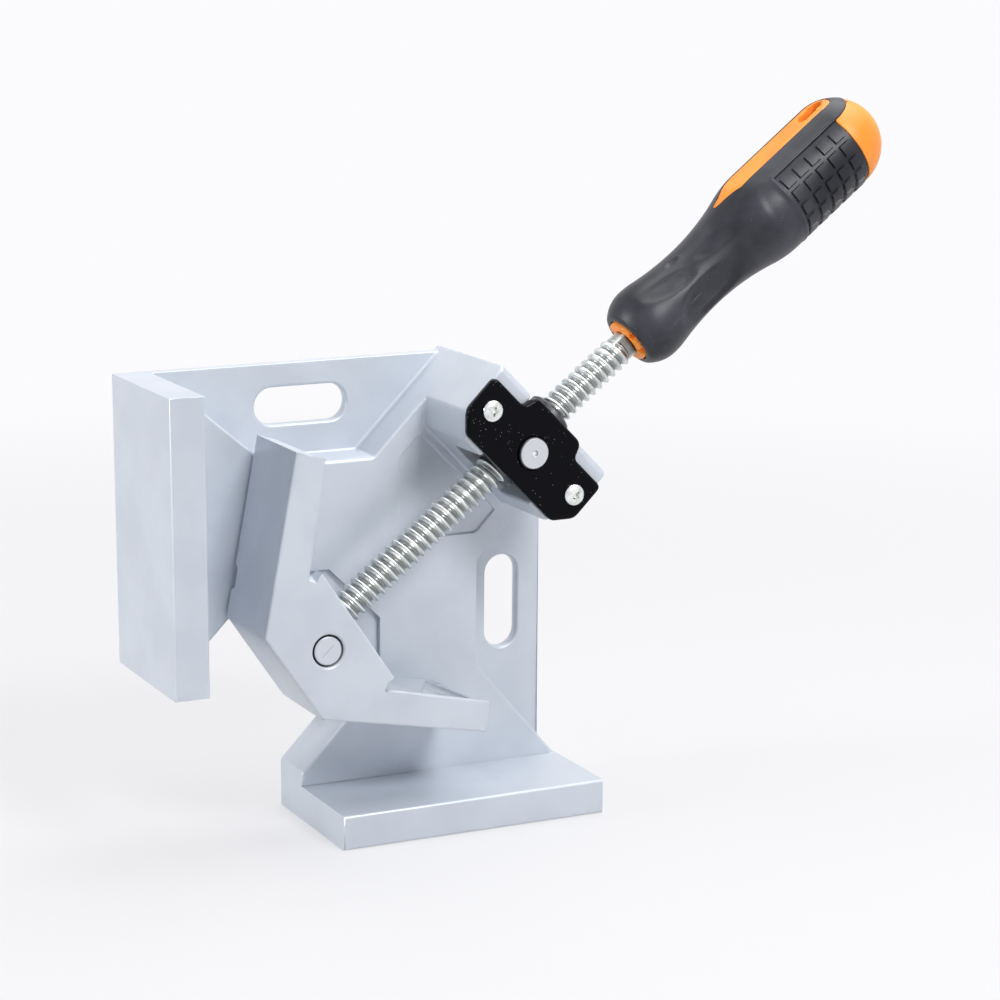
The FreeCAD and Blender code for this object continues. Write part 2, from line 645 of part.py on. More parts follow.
dress(bracket, "Fillet", "Bends", "bend", on_bend)
set_down(bracket, PIN[0], "axis_depth", PIN[1], AXIS_TURN)

pin = make_body("jaw_pin")
pin_sketch = make_sketch(pin, "PinSketch", "XZ_Plane", "body_depth - pin_set_back")
draw_circle(pin_sketch, "0", "0", "pin / 2")
pin_pad = pin.newObject("PartDesign::Pad", "Shank")
pin_pad.Profile = pin_sketch
pin_pad.Reversed = True
rear_wall = "axis_depth - bracket_width / 2 - pocket_clear"
back_face = "bed + jaw_clear"
pin_pad.setExpression("Length", bind("body_depth - pin_set_back - (%s + pin_back)" % back_face))
dress(pin, "Chamfer", "PinEdge", "dimple / 6", lambda e: at_depth(e, "body_depth - pin_set_back"))
set_down(pin, PIN[0], "0", PIN[1])

# Swing jaw: two arms at a right angle, joined by a hollow gusset that takes the bracket.
jaw = make_body("swing_jaw")
arm_side = [
    ("-(jaw_face)", "nose_cut - jaw_face"),
    ("-(jaw_face)", "arm"),
    ("-(jaw_face) + arm_tip", "arm - arm_cut"),
    ("arm_root - jaw_face", "gusset_end"),
]
inner = "(arm_root - jaw_face)"
nose = "(nose_cut - 2 * jaw_face)"
pocket_corner = "%s + nose_wall * sqrt(2) - %s" % (nose, inner)
pad(jaw, "Arms", [arm_side + [(inner, pocket_corner), (pocket_corner, inner)] + swap(arm_side)],
    "body_depth - (%s)" % back_face, back_face)
deep = inner + " - 1"
corner = "gusset_end - gusset_notch"
in_wall = "%s + nose_wall * sqrt(1/2) - (%s)" % (nose, deep)
gusset_side = [
    (deep, in_wall),
    (deep, corner),
    (inner + " + gusset_notch * 0.8", corner),
    ("gusset - gusset_end", "gusset_end"),
]
gusset = gusset_side + swap(gusset_side)
front_wall = "axis_depth + bracket_width / 2 + pocket_clear"
pad(jaw, "FrontWall", [gusset], "body_depth - (%s)" % front_wall, front_wall)
pad(jaw, "RearWall", [gusset], "%s - (%s)" % (rear_wall, back_face), back_face)
doc.recompute()
cut(jaw, "PinHole", [], "body_depth - axis_depth", "body_depth",
    circles=[("0", "0", "pin / 2 + pin_ring")])
cut(jaw, "PinSeat", [], "%s - (%s) - pin_back + end_spare" % (rear_wall, back_face), rear_wall,
    circles=[("0", "0", "pin / 2 + pin_fit")])
cut(jaw, "BackNotch", [[
    ("-(jaw_face) - 1", "cast_notch_at"),
    ("-(jaw_face) + cast_notch_deep", "cast_notch_at"),
    ("-(jaw_face) + cast_notch_deep", "cast_notch_at + cast_notch"),
    ("-(jaw_face) - 1", "cast_notch_at + cast_notch"),
]], "cast_notch_deep", back_face, away=True)
ledge_line = [
    ("gusset_end", "-(body_depth - ledge)"),
    ("ledge_wide_at", "-(body_depth - ledge_wide)"),
    ("ledge_end_at", "-(body_depth - ledge_end)"),
    ("arm + 1", "-(body_depth - ledge_end)"),
    ("arm + 1", "-(%s - 1)" % back_face),
    ("gusset_end", "-(%s - 1)" % back_face),
]
cut(jaw, "LowerArmBack", [ledge_line], "ledge_step", inner, role="XY_Plane")
cut(jaw, "UpperArmBack", [swap(ledge_line)], "ledge_step", inner, role="YZ_Plane")
dip = [
    ("dip_at", "-(body_depth - dip_wall)"),
    ("ledge_wide_at - dip_wall", "-(body_depth - ledge_wide + 2 * dip_wall)"),
    ("ledge_end_at - dip_wall", "-(body_depth - dip_wall)"),
]
cut(jaw, "LowerArmDip", [dip], "dip_deep", inner, role="XY_Plane")
cut(jaw, "UpperArmDip", [swap(dip)], "dip_deep", inner, role="YZ_Plane")


def on_front_outline(edge):
    if not at_depth(edge, "body_depth"):
        return False
    return edge.Curve.TypeId == "Part::GeomLine" and edge.Length > 4 * size("cast_round")


dress(jaw, "Fillet", "JawEdges", "cast_round", on_front_outline)
set_down(jaw, PIN[0], "0", PIN[1], "jaw_angle")

# Handle: hard core with a domed end and an inlaid strip, in a rubber sleeve.
rise_end = "sqrt(barrel^2 - (sleeve_end - dome_at)^2)"
rise_tip = "sqrt(barrel^2 - (tongue_end - dome_at)^2)"
swelling = soft("barrel_at - swell_at", "barrel - swell")
skin = [
    ("mouth_recess / 2", "collar - collar_rise", soft("collar_at - mouth_recess / 2", "collar_rise"), -1),
    ("collar_at", "collar", soft("collar_end - collar_at", "collar_fall"), -1),
    ("collar_end", "collar - collar_fall", soft("waist_at - collar_end", "collar - collar_fall - waist"), 1),
    ("waist_at", "waist", soft("swell_at - waist_at", "swell - waist"), 1),
    ("swell_at", "swell", swelling, -1),
    ("barrel_at", "barrel"),
    ("dome_at", "barrel", "barrel", -1),
]

sleeve = make_body("handle_sleeve")
revolve(sleeve, "Skin", [("0", "mouth"), ("0", "collar - collar_rise - mouth_recess / 2")] + skin + [
    ("tongue_end", rise_tip),
    ("tongue_end", "tongue_base / 4"),
    ("sleeve_end", "tongue_base / 4"),
    ("sleeve_end", "core + sleeve_gap"),
    ("mouth_recess + lip_length", "core + sleeve_gap"),
    ("mouth_recess + lip_length", "mouth"),
])
far = "tongue_end + 10"
wide = "barrel + 5"
cut(sleeve, "TongueSides", [
    [("sleeve_end", "tongue_half"), ("sleeve_end", wide), (far, wide), (far, "-(%s)" % wide),
     ("sleeve_end", "-(%s)" % wide), ("sleeve_end", "-(tongue_half)", "x", "sleeve_end")],
], "3 * barrel", "0", role="XY_Plane", midplane=True)
cut(sleeve, "TongueBase", [[
    ("sleeve_end", "-(%s)" % wide), (far, "-(%s)" % wide), (far, "tongue_base"),
    ("sleeve_end", "tongue_base"),
]], "3 * barrel", "0", midplane=True)


def strip_outline(gap):
    """The inlaid strip seen from above, pointed at the waist and round at the dome."""
    half = "(strip_half + %s)" % gap
    return [
        ("strip_start - %s" % gap, "-(0.4 + %s)" % gap),
        ("strip_wide", "-" + half),
        ("strip_end - strip_half", "-" + half, "x", "strip_end - strip_half"),
        ("strip_end - strip_half", half),
        ("strip_wide", half),
        ("strip_start - %s" % gap, "0.4 + %s" % gap),
    ]


cut(sleeve, "StripWindow", [strip_outline("sleeve_gap")], "barrel", "core / 2", role="XY_Plane",
    away=True)
set_down(sleeve, PIN[0] + " + handle_face * cos(45 - swivel_angle)", "axis_depth",
         PIN[1] + " + handle_face * sin(45 - swivel_angle)", AXIS_TURN)

hilt = make_body("handle_core")
pad(hilt, "Strip", [strip_outline("0")], "strip_top - tongue_base / 2", "tongue_base / 2",
    role="XY_Plane")
doc.recompute()
under = "barrel - strip_sink"
revolve(hilt, "StripTrim", [
    ("strip_start - 4", "swell - 1.4"),
    ("swell_at", "swell - strip_sink", soft("barrel_at - swell_at", "barrel - swell"), -1),
    ("barrel_at", under),
    ("dome_at", under, under, -1),
    ("tongue_end - 1", "sqrt((%s)^2 - (tongue_end - 1 - dome_at)^2)" % under),
    ("tongue_end - 1", "barrel + 4"),
    ("strip_start - 4", "barrel + 4"),
], groove=True)
lower = under + " - sleeve_gap"
revolve(hilt, "Stem", [
    ("mouth_recess", "0"),
    ("mouth_recess", "mouth - sleeve_gap"),
    ("mouth_recess + lip_length + 2 * sleeve_gap", "mouth - sleeve_gap"),
    ("mouth_recess + lip_length + 2 * sleeve_gap", "core"),
    ("sleeve_end + sleeve_gap", "core"),
    ("sleeve_end + sleeve_gap", "sqrt((%s)^2 - (sleeve_end + sleeve_gap - dome_at)^2)" % lower, lower, -1),
    ("dome_at + %s" % lower, "0"),
])
seat_half = "tongue_half + sleeve_gap"
strip_bow = "strip_end - strip_half"
cut(hilt, "TongueSeat", [[
    ("sleeve_end", "-(strip_half)"),
    (strip_bow, "-(strip_half)", "x", strip_bow),
    (strip_bow, "strip_half"),
    ("sleeve_end", "strip_half"),
    ("sleeve_end", seat_half, seat_half, -1),
    ("sleeve_end + " + seat_half, "0", seat_half, -1),
    ("sleeve_end", "-(%s)" % seat_half),
]], "barrel + 5", "tongue_base - sleeve_gap", role="XY_Plane", away=True)
cut(hilt, "TangSlot", [[
    ("mouth_recess - 1", "-(tang_width / 2 + tang_gap)"),
    ("tang_end - handle_face + tang_gap", "-(tang_width / 2 + tang_gap)"),
    ("tang_end - handle_face + tang_gap", "tang_width / 2 + tang_gap"),
    ("mouth_recess - 1", "tang_width / 2 + tang_gap"),
]], "tang_thick + 2 * tang_gap", "0", midplane=True)
hang = slot_outline("hang_at", "0", "hang_length", "hang_width", False)
cut(hilt, "HangingHole", [hang], "3 * barrel", "0", role="XY_Plane", midplane=True)
cut(sleeve, "HangingHole2", [slot_outline("hang_at", "0", "hang_length + 2 * sleeve_gap",
                                          "hang_width + 2 * sleeve_gap", False)],
    "3 * barrel", "0", role="XY_Plane", midplane=True)
set_down(hilt, PIN[0] + " + handle_face * cos(45 - swivel_angle)", "axis_depth",
         PIN[1] + " + handle_face * sin(45 - swivel_angle)", AXIS_TURN)

doc.recompute()
BODIES = [frame, cover, doc.getObject("cover_screw_upper"), doc.getObject("cover_screw_lower"),
          nut, spindle, keeper, bracket, pin, jaw, sleeve, hilt]
for thing in doc.Objects:
    if "Invalid" in thing.State or "Error" in thing.State:
        raise RuntimeError("%s is %s" % (thing.Label, thing.State))
os.makedirs("parts", exist_ok=True)
facets = 0
for body in BODIES:
    shape = body.Shape
    if shape.isNull() or not shape.isValid() or len(shape.Solids) != 1:
        raise RuntimeError("%s has no single valid solid" % body.Label)
    shape.exportStep("parts/%s.step" % body.Label)
    facets += len(shape.tessellate(0.1)[1])
    print(body.Label, "volume %.1f" % shape.Volume)
print("bodies", len(BODIES), "facets", facets)
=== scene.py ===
import json
from math import copysign, cos, degrees, exp, pi, radians, sin, sqrt
import bpy
import bmesh
from mathutils import Matrix, Vector

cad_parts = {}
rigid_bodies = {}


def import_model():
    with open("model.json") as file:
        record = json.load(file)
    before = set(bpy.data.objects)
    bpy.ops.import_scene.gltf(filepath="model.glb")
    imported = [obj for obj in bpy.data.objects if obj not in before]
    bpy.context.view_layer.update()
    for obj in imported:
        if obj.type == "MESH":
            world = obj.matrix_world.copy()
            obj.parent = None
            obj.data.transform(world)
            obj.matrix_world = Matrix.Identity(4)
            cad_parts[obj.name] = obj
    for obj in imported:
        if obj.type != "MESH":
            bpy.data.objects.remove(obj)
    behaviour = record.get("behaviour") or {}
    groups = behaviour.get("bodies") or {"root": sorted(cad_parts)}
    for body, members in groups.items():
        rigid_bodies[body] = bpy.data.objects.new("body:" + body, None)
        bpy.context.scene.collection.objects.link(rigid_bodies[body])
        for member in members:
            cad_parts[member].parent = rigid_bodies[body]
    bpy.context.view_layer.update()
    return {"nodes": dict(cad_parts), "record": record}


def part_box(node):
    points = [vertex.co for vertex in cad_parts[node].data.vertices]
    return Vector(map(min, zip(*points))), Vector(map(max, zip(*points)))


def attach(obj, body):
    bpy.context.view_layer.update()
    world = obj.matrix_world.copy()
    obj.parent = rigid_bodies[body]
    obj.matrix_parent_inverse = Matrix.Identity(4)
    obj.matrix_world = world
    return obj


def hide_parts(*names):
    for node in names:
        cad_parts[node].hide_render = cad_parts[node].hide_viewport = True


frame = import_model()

# Corner clamp: a cast body with two fixed jaws, a swing jaw pushed by a screw, and a
# screwdriver-type handle. Metres; the clamp stands on the outer face of its lower jaw.

cadNodes = frame["nodes"]


class Num:  # a number socket that takes + - * / ** and gives its Math nodes
    def __init__(self, web, socket):
        self.web = web
        self.socket = socket

    def do(self, operation, *values):
        made = self.web.node("ShaderNodeMath", dict(enumerate(values)), operation=operation)
        return Num(self.web, made.outputs[0])

    def __add__(self, other):
        return self.do("ADD", self, other)

    def __radd__(self, other):
        return self.do("ADD", other, self)

    def __sub__(self, other):
        return self.do("SUBTRACT", self, other)

    def __rsub__(self, other):
        return self.do("SUBTRACT", other, self)

    def __mul__(self, other):
        return self.do("MULTIPLY", self, other)

    def __rmul__(self, other):
        return self.do("MULTIPLY", other, self)

    def __truediv__(self, other):
        return self.do("DIVIDE", self, other)

    def __rtruediv__(self, other):
        return self.do("DIVIDE", other, self)

    def __pow__(self, other):
        return self.do("POWER", self, other)

    def over(self, level):
        return self.do("GREATER_THAN", self, level)

    def size(self):
        return self.do("ABSOLUTE", self)

    def under(self, level):
        return self.do("LESS_THAN", self, level)

    def ease(self, low, high):  # 0 below low, 1 above high, smooth between
        sockets = {"Value": self, "From Min": low, "From Max": high}
        made = self.web.node("ShaderNodeMapRange", sockets, interpolation_type="SMOOTHSTEP")
        return Num(self.web, made.outputs[0])


class Web:  # a node tree and the one way in which nodes are put into it
    def __init__(self, tree):
        self.tree = tree

    def node(self, kind, sockets=None, **settings):
        made = self.tree.nodes.new(kind)
        for name, value in settings.items():
            setattr(made, name, value)
        for name, value in (sockets or {}).items():
            self.feed(made.inputs[name], value)
        return made

    def feed(self, socket, value):
        if isinstance(value, Num):
            value = value.socket
        if isinstance(value, bpy.types.NodeSocket):
            self.tree.links.new(value, socket)
        else:
            socket.default_value = value

    def place(self):  # object coordinates
        return self.node("ShaderNodeTexCoord").outputs["Object"]

    def axes(self, vector):  # its x, y and z
        made = self.node("ShaderNodeSeparateXYZ", {0: vector})
        return [Num(self, made.outputs[axis]) for axis in "XYZ"]

    def joinAxes(self, *parts):
        return self.node("ShaderNodeCombineXYZ", dict(enumerate(parts))).outputs[0]

    def vector(self, operation, *values):
        made = self.node("ShaderNodeVectorMath", dict(enumerate(values)), operation=operation)
        return made.outputs

    def stretched(self, vector, scale, turn=(0.0, 0.0, 0.0)):
        sockets = {"Vector": vector, "Scale": scale, "Rotation": turn}
        return self.node("ShaderNodeMapping", sockets).outputs[0]

    def noise(self, vector, scale, detail=3.0, rough=0.55):
        sockets = {"Vector": vector, "Scale": scale, "Detail": detail, "Roughness": rough}
        return Num(self, self.node("ShaderNodeTexNoise", sockets).outputs["Fac"])

    def cells(self, vector, scale):
        made = self.node("ShaderNodeTexVoronoi", {"Vector": vector, "Scale": scale})
        return Num(self, made.outputs["Distance"])

    def tint(self, factor, first, second):
        made = self.node("ShaderNodeMix", {0: factor, 6: first, 7: second}, data_type="RGBA")
        return made.outputs[2]


def colour(red, green, blue):
    return (red, green, blue, 1.0)


def emptyTree(owner):  # a material's or the world's own nodes, cleared
    owner.use_nodes = True
    owner.node_tree.nodes.clear()
    return Web(owner.node_tree)


def newFinish(name, constants):
    finish = bpy.data.materials.new(name)
    web = emptyTree(finish)
    web.shader = web.node("ShaderNodeBsdfPrincipled", constants)
    web.node("ShaderNodeOutputMaterial", {"Surface": web.shader.outputs[0]})
    return finish, web, web.place()


def uneven(look, noise):  # a roughness that follows a noise
    middle, spread = look["roughness"]
    return middle + (noise - 0.5) * spread


def coat(web, look, shade, roughness, height):  # what changes over a surface
    depth, strength = look["bump"]
    sockets = {"Height": height, "Distance": depth, "Strength": strength}
    relief = web.node("ShaderNodeBump", sockets).outputs[0]
    for name, value in (("Base Color", shade), ("Roughness", roughness), ("Normal", relief)):
        web.feed(web.shader.inputs[name], value)


castLook = {
    "colour": colour(0.60, 0.645, 0.71),
    "dull": colour(0.545, 0.59, 0.655),
    "roughness": (0.36, 0.14),  # middle and spread
    "grainSpread": 0.08,
    "metallic": 0.2,
    "grainScale": 1100.0,
    "mottleScale": 38.0,
    "mottleEase": (0.32, 0.68),
    "scarScale": 70.0,
    "scarStretch": (1.0, 1.0, 9.0),
    "scarTurn": (0.0, 0.7, 0.0),
    "scarEase": (0.66, 0.72),
    "scarShade": 0.5,
    "bump": (0.00005, 0.45),  # depth and strength
}


def castFinish(name, look):
    finish, web, place = newFinish(name, {"Metallic": look["metallic"], "IOR": 1.5})
    mottle = web.noise(place, look["mottleScale"], 4.0)
    grain = web.noise(place, look["grainScale"], 2.0)
    streaks = web.stretched(place, look["scarStretch"], look["scarTurn"])
    scars = web.noise(streaks, look["scarScale"], 5.0, 0.7)
    marks = scars.ease(*look["scarEase"]) * look["scarShade"]
    shade = web.tint(mottle.ease(*look["mottleEase"]) * (1 - marks), look["dull"], look["colour"])
    rough = uneven(look, mottle) + (grain - 0.5) * look["grainSpread"] + marks * 0.12
    coat(web, look, shade, rough, grain * 0.7 + mottle * 1.4)
    return finish


zincLook = {
    "colour": colour(0.86, 0.88, 0.86),
    "dark": colour(0.62, 0.65, 0.63),
    "roughness": (0.2, 0.15),
    "spotScale": 240.0,
    "spotEase": (0.3, 0.62),
    "bump": (0.00006, 0.2),
}


def zincFinish(name, look):
    finish, web, place = newFinish(name, {"Metallic": 1.0})
    spots = web.noise(place, look["spotScale"], 3.0)
    shade = web.tint(spots.ease(*look["spotEase"]), look["dark"], look["colour"])
    if "axis" in look:  # a rolled thread: streaks along it, and painted shade that darkens its roots
        middle, line = look["axis"]
        off = web.vector("SUBTRACT", place, middle)[0]
        reach = Num(web, web.vector("LENGTH", web.vector("CROSS_PRODUCT", off, line)[0])[1])
        along = Num(web, web.vector("DOT_PRODUCT", off, line)[1])
        parts = zip((along, web.axes(place)[1], reach), look["lineScale"])
        drawn = web.joinAxes(*(part * scale for part, scale in parts))
        rolls = web.noise(drawn, 1.0, 3.0, 0.65)
        shade = web.tint(rolls.ease(*look["lineEase"]), look["lineColour"], shade)
        # painted shade: the colour darkens towards the thread's roots, where shade falls between
        # the crests
        paintedRootShade = (1 - reach.ease(*look["paintedRootShade"])) * (0.45 + spots * 0.8)
        shade = web.tint(paintedRootShade, shade, look["rootShadeColour"])
        spots = spots + rolls * 1.5
    coat(web, look, shade, uneven(look, spots), spots)
    return finish


nutLook = {
    "colour": colour(0.60, 0.62, 0.65),
    # the nut's body round the trunnion is made very dark as painted shade beneath the cover
    "dark": colour(0.05, 0.05, 0.06),
    "worn": colour(0.11, 0.11, 0.12),
    "frontPlane": -0.0236,  # in front of this lies the trunnion's pale end
    "middle": (0.020425, 0.0, 0.124425),
    "rim": (0.0047, 0.0050),
    "mark": (0.00036, 0.0009),  # the centre mark's radius, clear and fading out; the mark carries a painted highlight
    "markHighlight": colour(0.95, 0.96, 0.97),
    "roughness": (0.34, 0.2),
    "spotScale": 300.0,
    "spotEase": (0.3, 0.7),
    "bump": (0.00005, 0.4),
}


def nutFinish(name, look):
    finish, web, place = newFinish(name, {})
    x, y, z = web.axes(place)
    across, rise = x - look["middle"][0], z - look["middle"][2]
    reach = (across * across + rise * rise) ** 0.5
    front = y.under(look["frontPlane"]) * (1 - reach.ease(*look["rim"]))
    spots = web.noise(place, look["spotScale"], 4.0)
    # painted shade: the body's very dark tones stand in for the shade under the cover
    shade = web.tint(spots.ease(*look["spotEase"]), look["dark"], look["worn"])
    # painted highlight: a near-white spot on the centre mark
    pale = web.tint((1 - reach.ease(*look["mark"])) * 0.8, look["colour"], look["markHighlight"])
    web.feed(web.shader.inputs["Metallic"], 0.9 - front * 0.45)
    coat(web, look, web.tint(front, shade, pale), uneven(look, spots), spots)
    return finish


pinLook = {
    "colour": colour(0.60, 0.635, 0.69),
    "scratch": colour(0.42, 0.45, 0.50),
    "middle": (-0.052445, 0.0, 0.067288),
    "scratchTurn": 0.75,
    "scratchHalf": (0.00012, 0.0003),
    "scratchSway": 0.0004,
    "scratchReach": (0.0024, 0.003),
    # the pin's outer edge is painted dark as the shade in the gap round it
    "rim": (0.0045, 0.0048),
    "gapShadeColour": colour(0.03, 0.035, 0.05),
    "roughness": (0.38, 0.2),
    "cloudScale": 420.0,
    "bump": (0.00006, 0.5),
}


def pinFinish(name, look):
    finish, web, place = newFinish(name, {"Metallic": 0.55})
    local = web.vector("SUBTRACT", place, look["middle"])[0]
    turned = web.stretched(local, (1.0, 1.0, 1.0), (0.0, look["scratchTurn"], 0.0))
    along, across = web.axes(turned)[::2]
    cloud = web.noise(place, look["cloudScale"], 4.0)
    line = (across + (cloud - 0.5) * look["scratchSway"]).size()
    mark = (1 - line.ease(*look["scratchHalf"])) * (1 - along.size().ease(*look["scratchReach"]))
    reach = (along * along + across * across) ** 0.5
    shade = web.tint(mark * 0.8, look["colour"], look["scratch"])
    # painted shade: a dark ring for the gap between the pin and its hole
    shade = web.tint(reach.ease(*look["rim"]), shade, look["gapShadeColour"])
    coat(web, look, shade, uneven(look, cloud), cloud * 0.6 - mark)
    return finish


enamelLook = {
    "colour": colour(0.0020, 0.0022, 0.0038),
    "dust": colour(0.20, 0.20, 0.21),
    "roughness": (0.16, 0.08),
    "dustScale": 900.0,
    "dustSize": 0.13,
    "cloudScale": 130.0,
    "peelScale": 500.0,
    "bump": (0.00005, 0.3),
}
enamelGloss = {
    "Metallic": 0.0,
    "Specular IOR Level": 0.05,
    "Coat Weight": 0.05,
    "Coat Roughness": 0.05,
}


def enamelFinish(name, look):
    finish, web, place = newFinish(name, enamelGloss)
    peel = web.noise(place, look["peelScale"], 2.0)
    clouds = web.noise(place, look["cloudScale"], 2.0)
    dust = web.cells(place, look["dustScale"]).under(look["dustSize"]) * clouds.over(0.55)
    shade = web.tint(dust * 0.7, look["colour"], look["dust"])
    coat(web, look, shade, uneven(look, clouds) + dust * 0.4, peel)
    return finish


rubberLook = {
    "colour": colour(0.012, 0.013, 0.018),
    "worn": colour(0.048, 0.050, 0.062),
    "speck": colour(0.22, 0.22, 0.24),
    "roughness": (0.38, 0.22),
    "cloudScale": 48.0,
    "cloudEase": (0.35, 0.75),
    "grainScale": 2300.0,
    "speckScale": 420.0,
    "speckSize": 0.06,
    "bump": (0.00007, 0.45),
}


def rubberFinish(name, look):
    finish, web, place = newFinish(name, {"Specular IOR Level": 0.3})
    cloud = web.noise(place, look["cloudScale"], 4.0)
    grain = web.noise(place, look["grainScale"], 2.0)
    specks = web.cells(place, look["speckScale"]).under(look["speckSize"]) * cloud.over(0.5)
    shade = web.tint(cloud.ease(*look["cloudEase"]), look["colour"], look["worn"])
    shade = web.tint(specks * 0.5, shade, look["speck"])
    coat(web, look, shade, uneven(look, cloud) + specks * 0.2, grain)
    return finish


orangeLook = {
    "colour": colour(0.93, 0.27, 0.02),
    "pale": colour(0.97, 0.33, 0.04),
    "roughness": (0.42, 0.15),
    "cloudScale": 80.0,
    "cloudEase": (0.3, 0.7),
    "grainScale": 1600.0,
    "bump": (0.00006, 0.4),
}
orangeGlow = {
    "Specular IOR Level": 0.45,
    "Subsurface Weight": 0.1,
    "Subsurface Radius": (0.004, 0.002, 0.001),
}


def orangeFinish(name, look):
    finish, web, place = newFinish(name, orangeGlow)
    cloud = web.noise(place, look["cloudScale"], 3.0)
    grain = web.noise(place, look["grainScale"], 2.0)
    shade = web.tint(cloud.ease(*look["cloudEase"]), look["colour"], look["pale"])
    coat(web, look, shade, uneven(look, cloud), grain + cloud * 2)
    return finish


joints = {joint["name"]: joint for joint in frame["record"]["behaviour"]["joints"]}
screwLine = -Vector(joints["screw_feed"]["axis"]).normalized()
pinMiddle = Vector(joints["jaw_pivot"]["pos_m"])
threadZinc = {
    **zincLook,
    "axis": (pinMiddle, screwLine),
    # radii over which the painted shade in the thread's roots fades out
    "paintedRootShade": (0.0039, 0.0048),
    "rootShadeColour": colour(0.19, 0.20, 0.20),
    "lineColour": colour(0.54, 0.56, 0.55),
    "lineScale": (2600.0, 420.0, 900.0),
    "lineEase": (0.36, 0.62),
    "bump": (0.00006, 0.35),
}
sheetZinc = {
    **zincLook,
    "colour": colour(0.42, 0.45, 0.49),
    "dark": colour(0.24, 0.26, 0.29),
    "roughness": (0.3, 0.15),
}
finishes = {
    "cast_body": castFinish("castBodyPaint", castLook),
    "cast_jaw": castFinish("castJawPaint", {**castLook, "mottleScale": 44.0}),
    "black_cover": enamelFinish("coverEnamel", enamelLook),
    "screws": zincFinish("screwZinc", {**zincLook, "spotScale": 600.0}),
    "nut_steel": nutFinish("nutSteel", nutLook),
    "zinc_spindle": zincFinish("spindleZinc", threadZinc),
    "zinc_sheet": zincFinish("sheetZinc", sheetZinc),
    "pin_steel": pinFinish("pinSteel", pinLook),
    "orange_core": orangeFinish("orangePlastic", orangeLook),
    "rubber_grip": rubberFinish("gripRubber", rubberLook),
}
slotOf = {entry["node"]: entry["material_slot"] for entry in frame["record"]["subparts"]}
for nodeName, node in cadNodes.items():
    node.data.materials.clear()
    node.data.materials.append(finishes[slotOf[nodeName]])
print("finishes ready")

# The screw's own frame: x along its axis from the jaw pin to the handle, y to the back.
toBack = Vector((0.0, 1.0, 0.0))
screwAxes = Matrix((screwLine, toBack, screwLine.cross(toBack))).transposed().to_4x4()
screwSpace = Matrix.Translation(pinMiddle) @ screwAxes
handleStart = 0.1446
handleSpace = screwSpace @ Matrix.Translation((handleStart, 0.0, 0.0))


def bodyOf(nodeName):
    bodies = frame["record"]["behaviour"]["bodies"]
    return [body for body, members in bodies.items() if nodeName in members][0]


def linked(name, data):  # a new object in the scene
    thing = bpy.data.objects.new(name, data)
    bpy.context.scene.collection.objects.link(thing)
    return thing


def newThing(name, mesh, slotName):
    if not mesh.materials:
        mesh.materials.append(finishes[slotName])
    return linked(name, mesh)


def meshFrom(made, name, space=None, smooth=True):  # and frees the bmesh
    if smooth:
        for face in made.faces:
            face.smooth = True
    mesh = bpy.data.meshes.new(name)
    made.to_mesh(mesh)
    made.free()
    if space:
        mesh.transform(space)
    return mesh


def closedMesh(name, points, faces, space=None):  # doubles merged, normals outwards, smooth
    made = bmesh.new()
    corners = [made.verts.new(point) for point in points]
    for face in faces:
        made.faces.new([corners[i] for i in face])
    bmesh.ops.remove_doubles(made, verts=made.verts, dist=2e-7)
    bmesh.ops.dissolve_degenerate(made, edges=made.edges, dist=1e-8)
    bmesh.ops.recalc_face_normals(made, faces=made.faces)
    return meshFrom(made, name, space)


def ringFaces(rows, count, closed):  # quads between rows of points that each go once round
    faces = []
    for row in range(rows if closed else rows - 1):
        here, below = row * count, (row + 1) % rows * count
        for step in range(count):
            after = (step + 1) % count
            faces.append((here + step, here + after, below + after, below + step))
    return faces


def lathe(name, outline, around, space=None):  # (x, radius) pairs turned about x
    points = []
    for x, radius in outline:
        for step in range(around):
            turn = 2 * pi * step / around
            points.append((x, radius * cos(turn), radius * sin(turn)))
    return closedMesh(name, points, ringFaces(len(outline), around, False), space)


def applied(thing):  # the object with its modifiers as one plain mesh
    bpy.context.view_layer.update()
    graph = bpy.context.evaluated_depsgraph_get()
    plain = bpy.data.meshes.new_from_object(thing.evaluated_get(graph))
    plain.name = thing.name
    thing.modifiers.clear()
    thing.data = plain
    return thing


def joined(name, meshes, slotName):
    made = bmesh.new()
    for mesh in meshes:
        made.from_mesh(mesh)
    for face in made.faces:
        face.material_index = 0
    return newThing(name, meshFrom(made, name, None, False), slotName)


def settle(thing, body, slotName, *nodeNames):
    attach(thing, body)
    if nodeNames:
        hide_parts(*nodeNames)
    return thing


edgeLook = {
    "width": 0.0010,
    "segments": 3,
    "angle": 30.0,  # faces that meet at less are one surface
    "finest": 0.0003,  # beside an edge shorter than this there is no rounding
    "share": 0.46,  # of the room beside an edge
    "straight": -0.92,  # an edge that runs on from another one, by the cosine between them
    "sharp": 40.0,
    "flatter": 80,  # how far a large face rules the shading beside it
    "leave": (),  # places and reaches where narrow faces meet and edges stay sharp
}
bodyEdges = {**edgeLook, "leave": ((Vector((-0.030, 0.027, 0.060)), 0.045),)}
jawPockets = ((Vector((-0.0555, -0.016, 0.114)), 0.022), (Vector((-0.012, -0.016, 0.045)), 0.022))
jawEdges = {**edgeLook, "leave": jawPockets}
smallEdges = {
    **edgeLook,
    "width": 0.0003,
    "segments": 2,
    "angle": 35.0,
    "finest": 0.00015,
    "sharp": 50.0,
}


